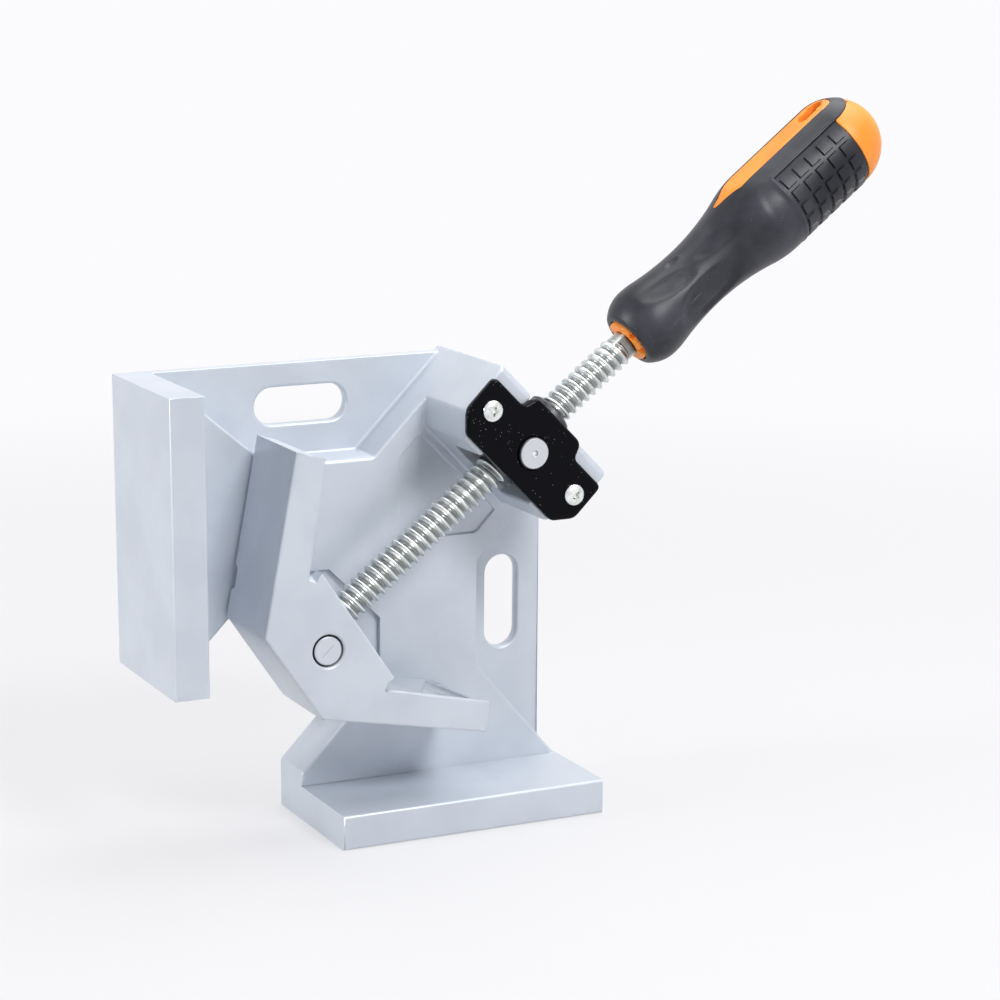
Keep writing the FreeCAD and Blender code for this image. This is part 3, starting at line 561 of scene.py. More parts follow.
def roomBeside(edge, look):  # how far a rounding may reach from this edge before it meets another
    room = 1.0
    for face in edge.link_faces:
        start, end = (corner.co for corner in edge.verts)
        line = (end - start).normalized()
        widest = max(line.cross(corner.co - start).length for corner in face.verts)
        room = min(room, widest * look["share"])
        for corner in edge.verts:
            own = (edge.other_vert(corner).co - corner.co).normalized()
            for other in corner.link_edges:
                if other is edge or face not in other.link_faces:
                    continue
                away = other.other_vert(corner).co - corner.co
                if own.dot(away.normalized()) > look["straight"]:
                    room = min(room, own.cross(away).length * look["share"])
    return room


def isLeft(edge, look):
    for spot, reach in look["leave"]:
        if all((corner.co - spot).length < reach for corner in edge.verts):
            return True
    return False


def weighEdges(made, look):  # a weight of 1 gives the whole rounding
    layer = made.edges.layers.float.new("bevel_weight_edge")
    for edge in made.edges:
        if edge.calc_face_angle(0.0) < radians(look["angle"]):
            continue
        if isLeft(edge, look):
            edge.smooth = False
            continue
        shortest = min(other.calc_length() for corner in edge.verts for other in corner.link_edges)
        if shortest > look["finest"]:
            edge[layer] = min(1.0, roomBeside(edge, look) / look["width"])
        edge.smooth = edge[layer] > 0


def soften(thing, look):
    bevel = thing.modifiers.new("softEdges", "BEVEL")
    bevel.width = look["width"]
    bevel.segments = look["segments"]
    bevel.limit_method = "WEIGHT"
    bevel.use_clamp_overlap = False
    bevel.miter_outer = "MITER_ARC"
    applied(thing)
    thing.data.set_sharp_from_angle(angle=radians(look["sharp"]))
    evening = thing.modifiers.new("flatFaces", "WEIGHTED_NORMAL")
    evening.mode = "FACE_AREA"
    evening.weight = look["flatter"]
    evening.keep_sharp = True
    applied(thing)


def softCopy(nodeName, pieceName, look):  # a merged copy of a CAD node with softened edges
    made = bmesh.new()
    made.from_mesh(cadNodes[nodeName].data)
    bmesh.ops.remove_doubles(made, verts=made.verts, dist=1e-6)
    bmesh.ops.dissolve_limit(
        made, angle_limit=radians(0.4), verts=made.verts, edges=made.edges, delimit={"NORMAL"}
    )
    weighEdges(made, look)
    thing = newThing(pieceName, meshFrom(made, pieceName), slotOf[nodeName])
    soften(thing, look)
    low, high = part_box(nodeName)
    for corner in thing.data.vertices:  # a rounding stays inside the node's box
        corner.co = [min(max(corner.co[i], low[i]), high[i]) for i in range(3)]
    return settle(thing, bodyOf(nodeName), slotOf[nodeName], nodeName)


softCopy("frame_body", "bodyCasting", bodyEdges)
softCopy("swing_jaw", "swingJawCasting", jawEdges)
softCopy("handle_core", "handleCore", smallEdges)
softCopy("spindle_bracket", "spindleFork", smallEdges)
print("castings ready")

# The thread is a grid whose rows follow the helix, made by Geometry Nodes.
threadLook = {
    "Start": 0.0139,
    "Length": 0.1270,
    "Pitch": 0.0030,
    "Crest": 0.00548,
    "Root": 0.00400,
    "Around": 60,
    "Per Turn": 12,
    "low": 0.04,
    "high": 0.94,
    "runOut": 0.94,
    "runOutSlope": 0.9,
}


def startTree(name, inputs):  # a Geometry Nodes tree with named inputs, and a finish as the last
    tree = bpy.data.node_groups.new(name, "GeometryNodeTree")
    tree.is_modifier = True
    for label, kind in {**inputs, "Finish": "Material"}.items():
        tree.interface.new_socket(name=label, in_out="INPUT", socket_type="NodeSocket" + kind)
    tree.interface.new_socket(name="Geometry", in_out="OUTPUT", socket_type="NodeSocketGeometry")
    web = Web(tree)
    return web, web.node("NodeGroupInput").outputs


def endTree(web, given, made):
    real = web.node("GeometryNodeRealizeInstances", {0: made})
    sockets = {"Geometry": real.outputs[0], "Material": given["Finish"]}
    coated = web.node("GeometryNodeSetMaterial", sockets)
    web.node("NodeGroupOutput", {0: coated.outputs[0]})
    return web.tree


def threadTree(look):
    lengths = ("Start", "Length", "Pitch", "Crest", "Root")
    counts = ("Around", "Per Turn")
    inputs = {**dict.fromkeys(lengths, "Float"), **dict.fromkeys(counts, "Int")}
    web, given = startTree("rolledThread", inputs)
    numbers = [Num(web, given[label]) for label in inputs]
    start, length, pitch, crest, root, around, perTurn = numbers
    turns = length / pitch
    turns = turns.do("CEIL", turns) + 2
    grid = web.node(
        "GeometryNodeMeshGrid",
        {"Size X": 1.0, "Size Y": 1.0, "Vertices X": turns * perTurn + 1, "Vertices Y": around + 1},
    )
    spot = web.axes(web.node("GeometryNodeInputPosition").outputs[0])
    row, turn = spot[0] + 0.5, spot[1] + 0.5
    advance = (row * turns - 1) * pitch
    free = advance + turn * pitch
    along = free.do("MINIMUM", free.do("MAXIMUM", free, 0.0), length)
    phase = advance / pitch
    wave = (phase.do("FRACT", phase) * 2 - 1).size()
    radius = root + (crest - root) * wave.ease(look["low"], look["high"])
    foot, slope = root * look["runOut"], look["runOutSlope"]  # the thread runs out at both ends
    radius = radius.do("MINIMUM", radius, foot + along * slope)
    radius = radius.do("MINIMUM", radius, foot + (length - along) * slope)
    radius = radius * row.over(0.00005) * row.under(0.99995)  # the first and last rows close it
    angle = turn * (2 * pi)
    point = web.joinAxes(
        start + along, radius * angle.do("COSINE", angle), radius * angle.do("SINE", angle)
    )
    sockets = {"Geometry": grid.outputs["Mesh"], "Position": point}
    placed = web.node("GeometryNodeSetPosition", sockets)
    sockets = {"Geometry": placed.outputs[0], "Distance": 2e-6}
    merged = web.node("GeometryNodeMergeByDistance", sockets)
    smooth = web.node("GeometryNodeSetShadeSmooth", {0: merged.outputs[0]})
    return endTree(web, given, smooth.outputs[0])


def treeMesh(name, tree, values, base=None):  # one evaluation of a tree as a plain mesh
    carrier = linked(name + "Carrier", base or bpy.data.meshes.new(name + "Base"))
    modifier = carrier.modifiers.new("build", "NODES")
    modifier.node_group = tree
    for item in tree.interface.items_tree:
        if item.in_out == "INPUT" and item.name in values:
            modifier[item.identifier] = values[item.name]
    applied(carrier)
    mesh = carrier.data
    mesh.name = name
    bpy.data.objects.remove(carrier)
    return mesh


def threadMesh(name, tree, look, slotName, space):
    values = {label: value for label, value in look.items() if label[0].isupper()}
    made = bmesh.new()
    made.from_mesh(treeMesh(name, tree, {**values, "Finish": finishes[slotName]}))
    bmesh.ops.holes_fill(made, edges=made.edges, sides=4)  # slivers that the merging took away
    bmesh.ops.recalc_face_normals(made, faces=made.faces)
    return meshFrom(made, name, space)


def barMesh(name, low, high, soft, space):  # a flat bar with rounded edges
    made = bmesh.new()
    bmesh.ops.create_cube(made, size=1.0)
    for corner in made.verts:
        corner.co = [low[i] + (corner.co[i] + 0.5) * (high[i] - low[i]) for i in range(3)]
    bmesh.ops.bevel(made, geom=made.edges[:], offset=soft, segments=3, profile=0.6, affect="EDGES")
    return meshFrom(made, name, space)


tangLook = {"low": (0.1375, -0.0026, -0.0042), "high": (0.186, 0.0026, 0.0042), "soft": 0.0009}
journalLook = {"from": 0.0072, "to": 0.0145, "radius": 0.0035, "chamfer": 0.0005, "around": 48}
rolled = threadTree(threadLook)
thread = threadMesh("spindleThread", rolled, threadLook, "zinc_spindle", screwSpace)
tang = barMesh("spindleTang", **tangLook, space=screwSpace)
first, last, radius, chamfer, around = journalLook.values()
outline = [(first, 0.0), (first, radius - chamfer), (first + chamfer, radius)]
outline += [(last, radius), (last, 0.0)]
journal = lathe("spindleJournal", outline, around, screwSpace)
spindle = joined("spindleRod", [thread, tang, journal], "zinc_spindle")
settle(spindle, "screw", "zinc_spindle", "spindle")
print("spindle ready")

# Pan head screws with a cross recess, set on the cover by a small tree.
screwLook = {
    "headRadius": 0.00355,
    "rim": 0.0006,
    "rise": 0.0021,
    "around": 56,
    "domeSteps": 12,
    "dome": (0.42, 0.9, 0.58),  # share of a fuller curve, its power, share of a round one
    "wing": 0.00042,  # half a wing's width
    "reach": 0.0019,
    "deepShares": (0.45, 0.7),  # of reach and wing
    "topShares": (1.1, 1.15),
    "recess": 0.0014,
    "over": 0.001,
    "well": (0.0003, 0.0005, 0.0010),  # its tip's depth and its two radii
    "sharp": 34.0,
}
shankLook = {
    "Start": 0.0,
    "Length": 0.0115,
    "Pitch": 0.0008,
    "Crest": 0.00172,
    "Root": 0.00135,
    "Around": 20,
    "Per Turn": 6,
}


def crossCutter(look):  # two tapered wings and the well between them
    deep, top = look["rise"] - look["recess"], look["rise"] + look["over"]
    points = []
    for level, (reachShare, wingShare) in ((deep, look["deepShares"]), (top, look["topShares"])):
        reach, half = look["reach"] * reachShare, look["wing"] * wingShare
        corners = ((-reach, -half), (reach, -half), (reach, half), (-reach, half))
        points += [(level, *corner) for corner in corners]
    faces = [(0, 1, 2, 3), (4, 5, 6, 7), (0, 1, 5, 4), (1, 2, 6, 5), (2, 3, 7, 6), (3, 0, 4, 7)]
    turns = [Matrix.Rotation(turn, 4, "X") for turn in (0.0, pi / 2)]
    wings = [closedMesh("wing", points, faces, turn) for turn in turns]
    tip, low, high = look["well"]
    return wings + [lathe("well", [(deep - tip, 0.0), (deep, low), (top, high), (top, 0.0)], 16)]


def cutBy(thing, meshes):
    for number, mesh in enumerate(meshes):
        knife = linked("knife%d" % number, mesh)
        step = thing.modifiers.new("cut%d" % number, "BOOLEAN")
        step.operation = "DIFFERENCE"
        step.solver = "EXACT"
        step.object = knife
    applied(thing)
    for number in range(len(meshes)):
        bpy.data.objects.remove(bpy.data.objects["knife%d" % number])
    return thing


def screwMesh(look):
    radius, rise, rim = look["headRadius"], look["rise"], look["rim"]
    steps, (full, power, plain) = look["domeSteps"], look["dome"]
    outline = [(0.0, 0.0), (0.0, radius - 0.0001), (0.0001, radius), (rim, radius)]
    for step in range(1, steps + 1):
        turn = pi / 2 * step / steps
        run = cos(turn) if step < steps else 0.0
        share = full * run ** power + plain * run
        outline.append((rim + (rise - rim) * sin(turn), radius * share))
    head = newThing("screwHead", lathe("screwHead", outline, look["around"]), "screws")
    cutBy(head, crossCutter(look))
    outward = Matrix.Rotation(pi, 4, "Z")
    shank = threadMesh("screwShank", rolled, shankLook, "screws", outward)
    whole = joined("screwWhole", [head.data, shank], "screws")
    whole.data.set_sharp_from_angle(angle=radians(look["sharp"]))
    mesh = whole.data
    bpy.data.objects.remove(head)
    bpy.data.objects.remove(whole)
    mesh.transform(Matrix.Rotation(-pi / 2, 4, "Z"))
    return mesh


def screwPairTree():
    inputs = dict(Geometry="Geometry", First="Vector", Step="Vector", Count="Int", Turn="Float")
    web, given = startTree("screwPair", inputs)
    sockets = {"Count": given["Count"], "Start Location": given["First"], "Offset": given["Step"]}
    line = web.node("GeometryNodeMeshLine", sockets)
    number = Num(web, web.node("GeometryNodeInputIndex").outputs[0])
    spin = web.joinAxes(0.0, Num(web, given["Turn"]) * (number + 0.4))
    sockets = {"Points": line.outputs[0], "Instance": given["Geometry"], "Rotation": spin}
    placed = web.node("GeometryNodeInstanceOnPoints", sockets)
    return endTree(web, given, placed.outputs[0])


def screwSeat(nodeName):  # where a screw's head meets the cover
    low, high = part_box(nodeName)
    return Vector(((low[0] + high[0]) / 2, low[1] + screwLook["rise"], (low[2] + high[2]) / 2))


firstSeat = screwSeat("cover_screw_upper")
pair = treeMesh(
    "coverScrewPair",
    screwPairTree(),
    {
        "First": firstSeat,
        "Step": screwSeat("cover_screw_lower") - firstSeat,
        "Count": 2,
        "Turn": 0.55,
        "Finish": finishes["screws"],
    },
    screwMesh(screwLook),
)
screwPair = newThing("coverScrews", pair, "screws")
settle(screwPair, "body", "screws", "cover_screw_upper", "cover_screw_lower")
print("cover screws ready")

# The cover: its outline is given along and across the casting's diagonal, in millimetres.
coverLook = {
    "corner": (-92.5, 11.5),  # where the two fixed jaws' inner faces would meet
    "outline": [  # along, across, rounding; one half
        (148.6, 21.6, 1.3),
        (154.5, 27.5, 2.0),
        (168.3, 27.5, 2.2),
        (168.3, 13.4, 1.6),
        (173.6, 11.5, 2.6),
    ],
    "cornerSteps": 6,
    "back": -22.2,
    "front": -24.7,
    "roll": 1.35,
    "rings": 7,
    "holes": [(159.7, 0.0, 5.5, 40), (159.7, 21.0, 1.9, 28), (159.7, -21.0, 1.9, 28)],
    "holeRoll": 0.35,
}


def coverPoint(look, run, side, level):
    return (
        (look["corner"][0] + (run + side) / sqrt(2)) / 1000.0,
        level / 1000.0,
        (look["corner"][1] + (run - side) / sqrt(2)) / 1000.0,
    )


def roundedLoop(corners, steps):  # corners (x, y, radius) eased by short curves
    loop = []
    count = len(corners)
    for i, (x, y, radius) in enumerate(corners):
        here = Vector((x, y))
        before = (Vector(corners[i - 1][:2]) - here).normalized() * radius
        after = (Vector(corners[(i + 1) % count][:2]) - here).normalized() * radius
        for step in range(steps + 1):
            t = step / steps
            loop.append(here + before * (1 - t) ** 2 + after * t ** 2)
    return loop


def inset(loop, amount):
    area = sum(a.x * b.y - b.x * a.y for a, b in zip(loop, loop[1:] + loop[:1]))
    sign = 1.0 if area > 0 else -1.0
    made = []
    for i, here in enumerate(loop):
        first = (here - loop[i - 1]).normalized()
        second = (loop[(i + 1) % len(loop)] - here).normalized()
        normals = [Vector((-edge.y, edge.x)) * sign for edge in (first, second)]
        middle = (normals[0] + normals[1]).normalized()
        made.append(here + middle * (amount / max(middle.dot(normals[0]), 0.3)))
    return made


def coverMesh(look):
    made = bmesh.new()
    half = look["outline"]
    corners = half + [(run, -side, radius) for run, side, radius in reversed(half)]
    outer = roundedLoop(corners, look["cornerSteps"])

    def ring(loop, level):
        return [made.verts.new(coverPoint(look, spot.x, spot.y, level)) for spot in loop]

    def band(first, second):
        for i in range(len(first)):
            j = (i + 1) % len(first)
            made.faces.new((first[i], first[j], second[j], second[i])).smooth = True

    def stack(loop, roll, direction):
        rings = [ring(loop, look["back"])]
        for step in range(look["rings"] + 1):
            turn = pi / 2 * step / look["rings"]
            shift = roll * (1 - cos(turn)) * direction
            rings.append(ring(inset(loop, shift), look["front"] + roll * (1 - sin(turn))))
        for lower, upper in zip(rings, rings[1:]):
            band(lower, upper)
        return rings[0], rings[-1]

    loops = [stack(outer, look["roll"], 1)]
    for run, side, radius, steps in look["holes"]:
        circle = [
            Vector((
                run + radius * cos(2 * pi * i / steps),
                side + radius * sin(2 * pi * i / steps),
            ))
            for i in range(steps)
        ]
        loops.append(stack(circle, look["holeRoll"], -1))
    for rims in zip(*loops):  # the back's, then the front's
        edges = [made.edges.get(ends) for loop in rims for ends in zip(loop, loop[1:] + loop[:1])]
        filled = bmesh.ops.triangle_fill(made, use_beauty=True, use_dissolve=False, edges=edges)
        for part in filled["geom"]:
            if isinstance(part, bmesh.types.BMFace):
                part.smooth = False
    bmesh.ops.recalc_face_normals(made, faces=made.faces)
    return meshFrom(made, "coverShell", None, False)


cover = newThing("coverPlate", coverMesh(coverLook), "black_cover")
settle(cover, "body", "black_cover", "cover_plate")
print("cover ready")

# The rubber sleeve. Lengths in millimetres from the handle's front face, angles in degrees
# from the front, up over the orange strip and down round the back.
gripLook = {
    "profile": [  # from, to, place where it runs level, radius there, other place, radius there
        (0.4, 8.5, 8.5, 13.4, 0.4, 10.2),
        (8.5, 14.0, 8.5, 13.4, 14.0, 12.9),
        (14.0, 31.0, 31.0, 11.4, 14.0, 12.9),
        (31.0, 54.0, 31.0, 11.4, 54.0, 14.55),
        (54.0, 64.0, 64.0, 16.0, 54.0, 14.55),
    ],
    "barrel": 16.0,
    "dome": 96.9,
    "end": 97.3,
    "tongue": 10.6,
    "tongueBase": 7.0,
    "bore": 9.55,
    "mouth": 8.2,
    "face": 9.4,
    "tip": 1.75,
    "lip": 3.8,
    "panelStart": 68.3,
    "panelSide": 47.0,
    "panelSink": 0.75,
    "tileColumns": [71.25, 76.85, 82.45, 88.05, 93.6],
    "tileHalf": 1.98,
    "tileFirst": 33.0,
    "tileTurn": 20.5,
    "tileRows": 13,
    "tileHalfTurn": 7.6,
    "edge": 0.16,
    "edgeTurn": 3.6,  # degrees for a millimetre of edge
    "sharp": 42.0,
}
panelLip = {  # the raised edge round the panel
    "rise": 0.22,
    "ring": (0.9, 0.55),  # middle before the panel, width
    "ringFade": 4,
    "side": (2.4, 1.6),  # the same beside it, in degrees
    "sideFade": 1.5,
    "end": (93.5, 96.0),
}
stationLook = {  # where the sleeve's rows and columns of points lie
    "front": [0.4, 0.7, 1.1, 1.6, 2.2, 2.9, 3.7, 4.6, 5.6, 6.6, 7.6, 8.5],
    "plain": (8.5, 0.75, 79),
    "beforePanel": [67.4, 67.8],
    "onTile": 0.9,
    "end": [96.4, 96.9, 97.3, *range(98, 108), 107.9],
    "tileTurns": (-4.4, -1.5, 1.5, 4.4),
    "sideTurns": (-0.6, 0.6, 1.6, 2.6, 3.8, 5.2),
    "stripTurns": (55, 127, 3),
    "seamTurns": (-0.8, 0.0, 0.8),
}
scoopLook = [  # place, angle, half length, half angle, depth, lean of its long axis
    (28.5, -14.0, 14.5, 33.0, 1.15, 0.0),
    (19.0, 44.0, 11.0, 17.0, 0.55, 0.9),
    (28.5, -166.0, 14.5, 33.0, 1.15, 0.0),
    (19.0, 136.0, 11.0, 17.0, 0.55, -0.9),
    (41.0, 44.0, 9.5, 15.0, 0.35, 0.5),
    (41.0, 136.0, 9.5, 15.0, 0.35, -0.5),
    (63.2, 12.0, 4.6, 42.0, 0.30, 0.0),
    (63.2, 168.0, 4.6, 42.0, 0.30, 0.0),
]
scoopEase = (0.35, 1.08)
ovalLook = {
    "place": 26.3,
    "angle": 74.5,
    "halfLength": 2.6,
    "halfTurn": 6.2,
    "depth": 0.5,
    "ease": (0.45, 1.0),
    "rim": 0.15,
    "ring": (1.2, 0.22),
    "limit": 2,
}
seamLook = {"angle": -4.0, "from": 9.0, "to": 27.5, "ease": 2, "wide": 1.4, "rise": 0.12}


def smoothStep(low, high, value):
    t = min(max((value - low) / (high - low), 0.0), 1.0)
    return t * t * (3 - 2 * t)


def bow(x, level, radius, other, otherRadius):
    run, rise = abs(other - level), otherRadius - radius
    bend = (run * run + rise * rise) / (2 * abs(rise))
    return radius + copysign(bend - sqrt(max(bend * bend - (x - level) ** 2, 0.0)), rise)


def apart(angle, middle):  # signed difference of two angles
    return (angle - middle + 180.0) % 360.0 - 180.0


def within(value, half, edge):  # 1 up to half, 0 beyond, smooth over the edge
    return 1 - smoothStep(half - edge, half + edge, value)


def plainRadius(look, x):
    if x >= look["dome"]:
        return sqrt(look["barrel"] ** 2 - (x - look["dome"]) ** 2)
    radius = look["barrel"]
    for low, high, *arc in look["profile"]:
        if low <= x <= high:
            radius = bow(x, *arc)
    return radius


def onTile(look, x, angle, turnEdge):  # 1 on a tile, 0 between the tiles
    tile = 0.0
    for column in look["tileColumns"]:
        across = within(abs(x - column), look["tileHalf"], look["edge"])
        if across > 0:
            for row in range(look["tileRows"]):
                off = abs(apart(angle, look["tileFirst"] - look["tileTurn"] * row))
                tile = max(tile, across * within(off, look["tileHalfTurn"], turnEdge))
    return tile


def lipRise(look, x, start, below, side):
    (ringAt, ringWide), (sideAt, sideWide) = look["ring"], look["side"]
    nearRing = exp(-((x - start + ringAt) / ringWide) ** 2)
    nearRing *= 1 - smoothStep(side, side + look["ringFade"], below)
    nearSide = exp(-((below - side - sideAt) / sideWide) ** 2)
    nearSide *= smoothStep(start - look["sideFade"], start, x)
    return look["rise"] * max(nearRing, nearSide) * (1 - smoothStep(*look["end"], x))


def gripSkin(look, x, angle):
    radius = plainRadius(look, x)
    below = abs(apart(angle, -90.0))  # the panel lies opposite the strip
    start, side = look["panelStart"], 90.0 + look["panelSide"]
    edge, turnEdge = look["edge"], look["edge"] * look["edgeTurn"]
    inside = smoothStep(start - edge, start + edge, x) * within(below, side, turnEdge)
    if x < look["end"] + 0.5:
        radius -= inside * look["panelSink"] * (1 - onTile(look, x, angle, turnEdge))
        radius += lipRise(panelLip, x, start, below, side)
    for place, middle, halfLength, halfTurn, depth, lean in scoopLook:
        off = apart(angle, middle) + lean * (x - place)
        reach = ((x - place) / halfLength) ** 2 + (off / halfTurn) ** 2
        radius -= depth * (1 - smoothStep(*scoopEase, reach))
    off = apart(angle, ovalLook["angle"]) / ovalLook["halfTurn"]
    reach = sqrt(((x - ovalLook["place"]) / ovalLook["halfLength"]) ** 2 + off ** 2)
    if reach < ovalLook["limit"]:
        ringAt, ringWide = ovalLook["ring"]
        radius -= ovalLook["depth"] * (1 - smoothStep(*ovalLook["ease"], reach))
        radius += ovalLook["rim"] * exp(-((reach - ringAt) / ringWide) ** 2)
    off = abs(apart(angle, seamLook["angle"]))
    first, last, ease = seamLook["from"], seamLook["to"], seamLook["ease"]
    length = smoothStep(first, first + ease, x) * (1 - smoothStep(last - ease, last, x))
    return radius + seamLook["rise"] * length * (1 - smoothStep(0.0, seamLook["wide"], off))


def gripStations(look, stations):
    edge, half, inner = look["edge"], look["tileHalf"], stations["onTile"]
    first, step, count = stations["plain"]
    places = stations["front"] + [first + step * i for i in range(1, count)]
    places += stations["beforePanel"] + [look["panelStart"] - edge, look["panelStart"] + edge]
    for column in look["tileColumns"]:
        offsets = (-half - edge, -half + edge, -inner, inner, half - edge, half + edge)
        places += [column + off for off in offsets]
    places += stations["end"]
    half, edge = look["tileHalfTurn"], edge * look["edgeTurn"]
    offsets = (-half - edge, -half + edge, *stations["tileTurns"], half - edge, half + edge)
    turns = set()
    for row in range(look["tileRows"]):
        middle = look["tileFirst"] - look["tileTurn"] * row
        turns.update(round((middle + off) % 360.0, 4) for off in offsets)
    side = look["panelSide"]
    for off in stations["sideTurns"]:
        turns.add(round((side + off) % 360.0, 4))
        turns.add(round((180.0 - side - off) % 360.0, 4))
    turns.update(float(angle) for angle in range(*stations["stripTurns"]))
    turns.update(seamLook["angle"] % 360.0 + off for off in stations["seamTurns"])
    return sorted(set(round(place, 4) for place in places)), sorted(turns)


def gripMesh(look):
    places, turns = gripStations(look, stationLook)
    tip, end, lip = places[-1], look["end"], look["lip"]
    rows = [(0.0, look["mouth"]), (0.0, look["face"])] + [(place, None) for place in places]
    rows += [(tip, look["tip"]), (end, look["tip"]), (end, look["bore"])]
    rows += [(lip, look["bore"]), (lip, look["mouth"])]
    points = []
    for x, radius in rows:  # a row without a radius lies on the skin
        for angle in turns:
            reach = (radius or gripSkin(look, x, angle)) / 1000.0
            turn = radians(angle)
            points.append((x / 1000.0, -reach * cos(turn), reach * sin(turn)))
    return closedMesh("gripSkin", points, ringFaces(len(rows), len(turns), True))


def prism(name, loop, low, high):  # a flat outline in x and y drawn up in z, in millimetres
    count = len(loop)
    points = [(x / 1000, y / 1000, low / 1000) for x, y in loop]
    points += [(x / 1000, y / 1000, high / 1000) for x, y in loop]
    faces = [tuple(range(count)), tuple(range(count, 2 * count))]
    faces += [(i, (i + 1) % count, count + (i + 1) % count, count + i) for i in range(count)]
    return closedMesh(name, points, faces)


def arcPoints(x, y, radius, first, last, steps):
    made = []
    for step in range(steps + 1):
        turn = radians(first + (last - first) * step / steps)
        made.append((x + radius * cos(turn), y + radius * sin(turn)))
    return made


stripLook = {
    "start": 50.0,
    "startHalf": 0.45,
    "wide": 60.0,
    "half": 5.25,
    "bow": 5.2,
    "end": 103.9,
    "depth": 4.7,
}
holeLook = {"middle": 96.2, "length": 10.3, "width": 4.9}
cutterReach = {"far": 125.0, "wide": 25.0}  # well outside the handle


def gripCutters(look):
    half, bowAt = stripLook["half"], stripLook["end"] - stripLook["bow"]
    window = [(stripLook["start"], -stripLook["startHalf"]), (stripLook["wide"], -half)]
    window += arcPoints(bowAt, 0.0, half, -90, 90, 20)
    window += [(stripLook["wide"], half), (stripLook["start"], stripLook["startHalf"])]
    far, wide, end = cutterReach["far"], cutterReach["wide"], look["end"]
    outside = [(end, look["tongue"]), (end, wide), (far, wide), (far, -wide), (end, -wide)]
    outside += arcPoints(end, 0.0, look["tongue"], -90, 90, 28)[:-1]
    under = [(end, -wide), (far, -wide), (far, wide), (end, wide)]
    middle, radius = holeLook["middle"], holeLook["width"] / 2
    run = (holeLook["length"] - holeLook["width"]) / 2
    slot = arcPoints(middle + run, 0.0, radius, -90, 90, 12)
    slot += arcPoints(middle - run, 0.0, radius, 90, 270, 12)
    return [
        prism("stripWindow", window, stripLook["depth"], wide),
        prism("tongueSides", outside, -wide, wide),
        prism("tongueBase", under, -wide, look["tongueBase"]),
        prism("hangingSlot", slot, -wide, wide),
    ]


grip = newThing("gripSleeve", gripMesh(gripLook), "rubber_grip")
cutBy(grip, gripCutters(gripLook))
grip.data.set_sharp_from_angle(angle=radians(gripLook["sharp"]))
grip.data.transform(handleSpace)
settle(grip, "screw", "rubber_grip", "handle_sleeve")
print("grip ready")

# The core's lobed nose, which stands in the sleeve's mouth round the flattened neck.
noseLook = {
    "back": 0.0040,
    "front": -0.0010,
    "soft": 0.0006,
    "radius": 0.0077,
    "notch": 0.0024,
    "notchTurns": (25.0, 155.0, 205.0, 335.0),
    "notchHalf": 12.0,
    "notchFlat": 0.3,
    "around": 120,
    "sharp": 50.0,
}


def noseMesh(look):
    back, front, soft = look["back"], look["front"], look["soft"]
    outer = [(back, 1.0), (front + soft, 1.0), (front + soft * 0.3, 0.97), (front, 0.90)]
    inner = [(front, 0.62), (front + soft, 0.575), (back, 0.575)]
    points = []
    count = look["around"]
    for x, share in outer + inner:  # place along the axis, share of the radius
        for step in range(count):
            turn = 2 * pi * step / count
            near = min(abs(apart(degrees(turn), middle)) for middle in look["notchTurns"])
            radius = look["radius"] * share
            if (x, share) in outer:
                flat, half = look["notchHalf"] * look["notchFlat"], look["notchHalf"]
                notch = 1 - smoothStep(flat, half, near)
                radius -= look["notch"] * notch
            points.append((x, radius * cos(turn), radius * sin(turn)))
    mesh = closedMesh("coreNose", points, ringFaces(len(outer + inner), count, True), handleSpace)
    mesh.set_sharp_from_angle(angle=radians(look["sharp"]))
    return mesh


settle(newThing("coreNose", noseMesh(noseLook), "orange_core"), "screw", "orange_core")
print("nose ready")

cameraLook = {
    "place": Vector((-0.37909, -0.78606, 0.29055)),
    "back": Vector((-0.37757, -0.88962, 0.25694)),
    "roll": radians(-0.447),
    "focalPixels": 2713.1,
    "shift": (0.18437, 0.14067),
    "sensor": 36.0,
    "clip": (0.05, 30.0),
}


def makeCamera(look):
    data = bpy.data.cameras.new("studioCamera")
    data.sensor_width = look["sensor"]
    data.lens = look["focalPixels"] / 1000.0 * look["sensor"]
    data.shift_x, data.shift_y = look["shift"]
    data.clip_start, data.clip_end = look["clip"]
    back = look["back"].normalized()
    right = Vector((0.0, 0.0, 1.0)).cross(back).normalized()
    up = back.cross(right)
    cosine, sine = cos(look["roll"]), sin(look["roll"])
    across = right * cosine + up * sine
    rise = up * cosine - right * sine
    thing = linked("studioCamera", data)
    turn = Matrix((across, rise, back)).transposed().to_4x4()
    thing.matrix_world = Matrix.Translation(look["place"]) @ turn
    bpy.context.scene.camera = thing


stageLook = {
    "half": 6.0,
    "level": -0.0002,
    "paper": colour(0.66, 0.66, 0.675),
    "white": colour(0.972, 0.968, 0.99),
    "near": 0.6,
    "fade": (0.3, 0.9),
    "airColour": colour(0.93, 0.95, 1.0),
    "air": 0.10,
    "aim": (-0.02, 0.0, 0.09),
}
lamps = {  # place, size and power
    "topBox": ((0.35, 0.1, 1.40), (1.4, 1.4), 20.0),
    "leftBox": ((-1.4, 0.15, 0.35), (0.4, 0.5), 10.5),
    "frontBox": ((0.3, -1.3, 1.15), (0.5, 0.5), 18.5),
}


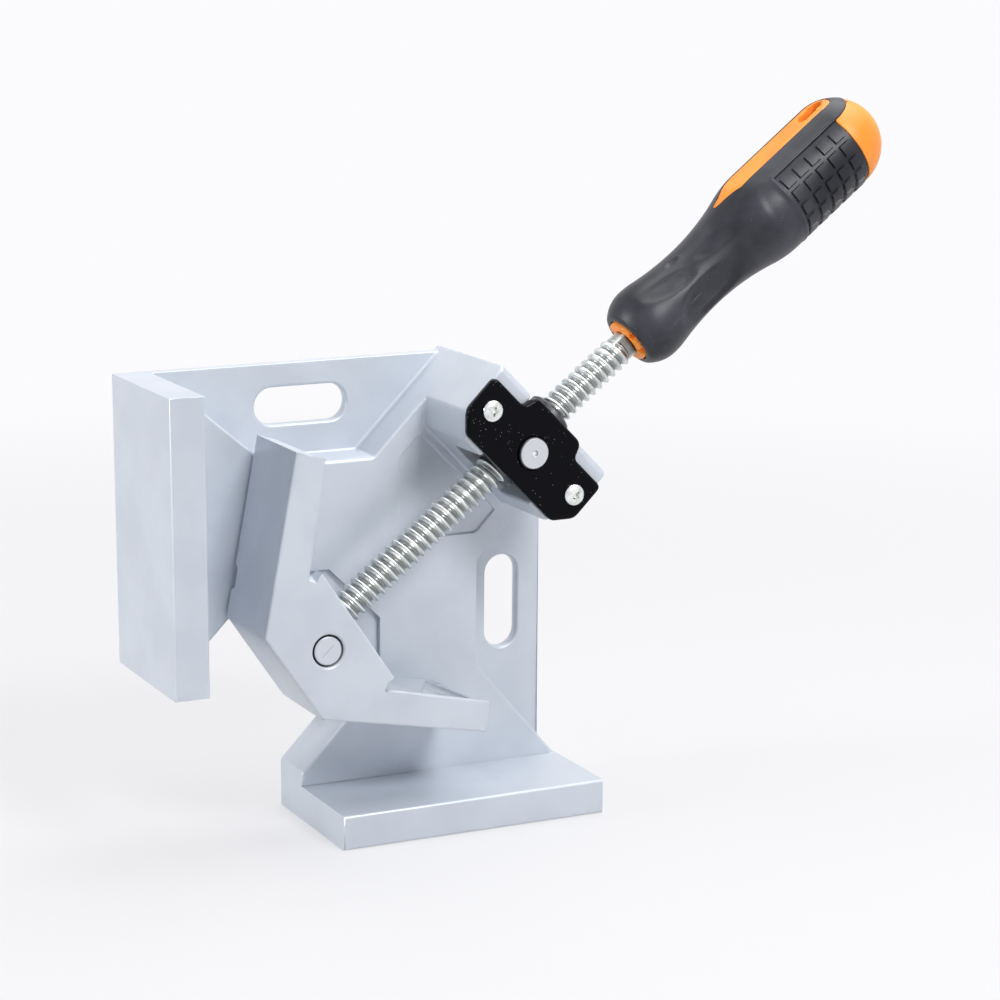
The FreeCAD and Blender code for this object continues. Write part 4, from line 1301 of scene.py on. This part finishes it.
def seenDirectly(web):  # 1 for rays from the camera, a mirror-like surface or clear glass
    rays = web.node("ShaderNodeLightPath")
    seen = Num(web, rays.outputs["Is Camera Ray"])
    seen = seen.do("MAXIMUM", seen, rays.outputs["Is Glossy Ray"])
    return seen.do("MAXIMUM", seen, rays.outputs["Is Transmission Ray"])


def makeFloor(look):
    mesh = bpy.data.meshes.new("studioFloor")
    half, level = look["half"], look["level"]
    corners = ((-half, -half), (half, -half), (half, half), (-half, half))
    mesh.from_pydata([(x, y, level) for x, y in corners], [], [(0, 1, 2, 3)])
    floor = linked("studioFloor", mesh)
    finish = bpy.data.materials.new("floorWhite")
    web = emptyTree(finish)
    reach = Num(web, web.vector("LENGTH", web.place())[1])
    constants = {"Base Color": look["paper"], "Roughness": 0.5}
    paper = web.node("ShaderNodeBsdfPrincipled", constants)
    glow = web.node("ShaderNodeEmission", {"Color": look["white"], "Strength": 1.0})
    seen = seenDirectly(web) * (look["near"] + (1 - look["near"]) * reach.ease(*look["fade"]))
    mix = web.node("ShaderNodeMixShader", {0: seen, 1: paper.outputs[0], 2: glow.outputs[0]})
    web.node("ShaderNodeOutputMaterial", {"Surface": mix.outputs[0]})
    mesh.materials.append(finish)


def makeWorld(look):
    world = bpy.data.worlds.new("studioWorld")
    bpy.context.scene.world = world
    web = emptyTree(world)
    light = {"Color": look["airColour"], "Strength": look["air"]}
    ambient = web.node("ShaderNodeBackground", light)
    white = web.node("ShaderNodeBackground", {"Color": look["white"], "Strength": 1.0})
    sockets = {0: seenDirectly(web), 1: ambient.outputs[0], 2: white.outputs[0]}
    mix = web.node("ShaderNodeMixShader", sockets)
    web.node("ShaderNodeOutputWorld", {"Surface": mix.outputs[0]})


def softBox(name, place, aim, size, power):
    data = bpy.data.lights.new(name, "AREA")
    data.shape = "RECTANGLE"
    data.size, data.size_y = size
    data.energy = power
    thing = linked(name, data)
    thing.location = place
    thing.rotation_euler = (Vector(aim) - Vector(place)).to_track_quat("-Z", "Y").to_euler()


makeCamera(cameraLook)
makeFloor(stageLook)
makeWorld(stageLook)
for name, (place, size, power) in lamps.items():
    softBox(name, place, stageLook["aim"], size, power)
bpy.context.scene.view_settings.view_transform = "Standard"
print("stage ready")
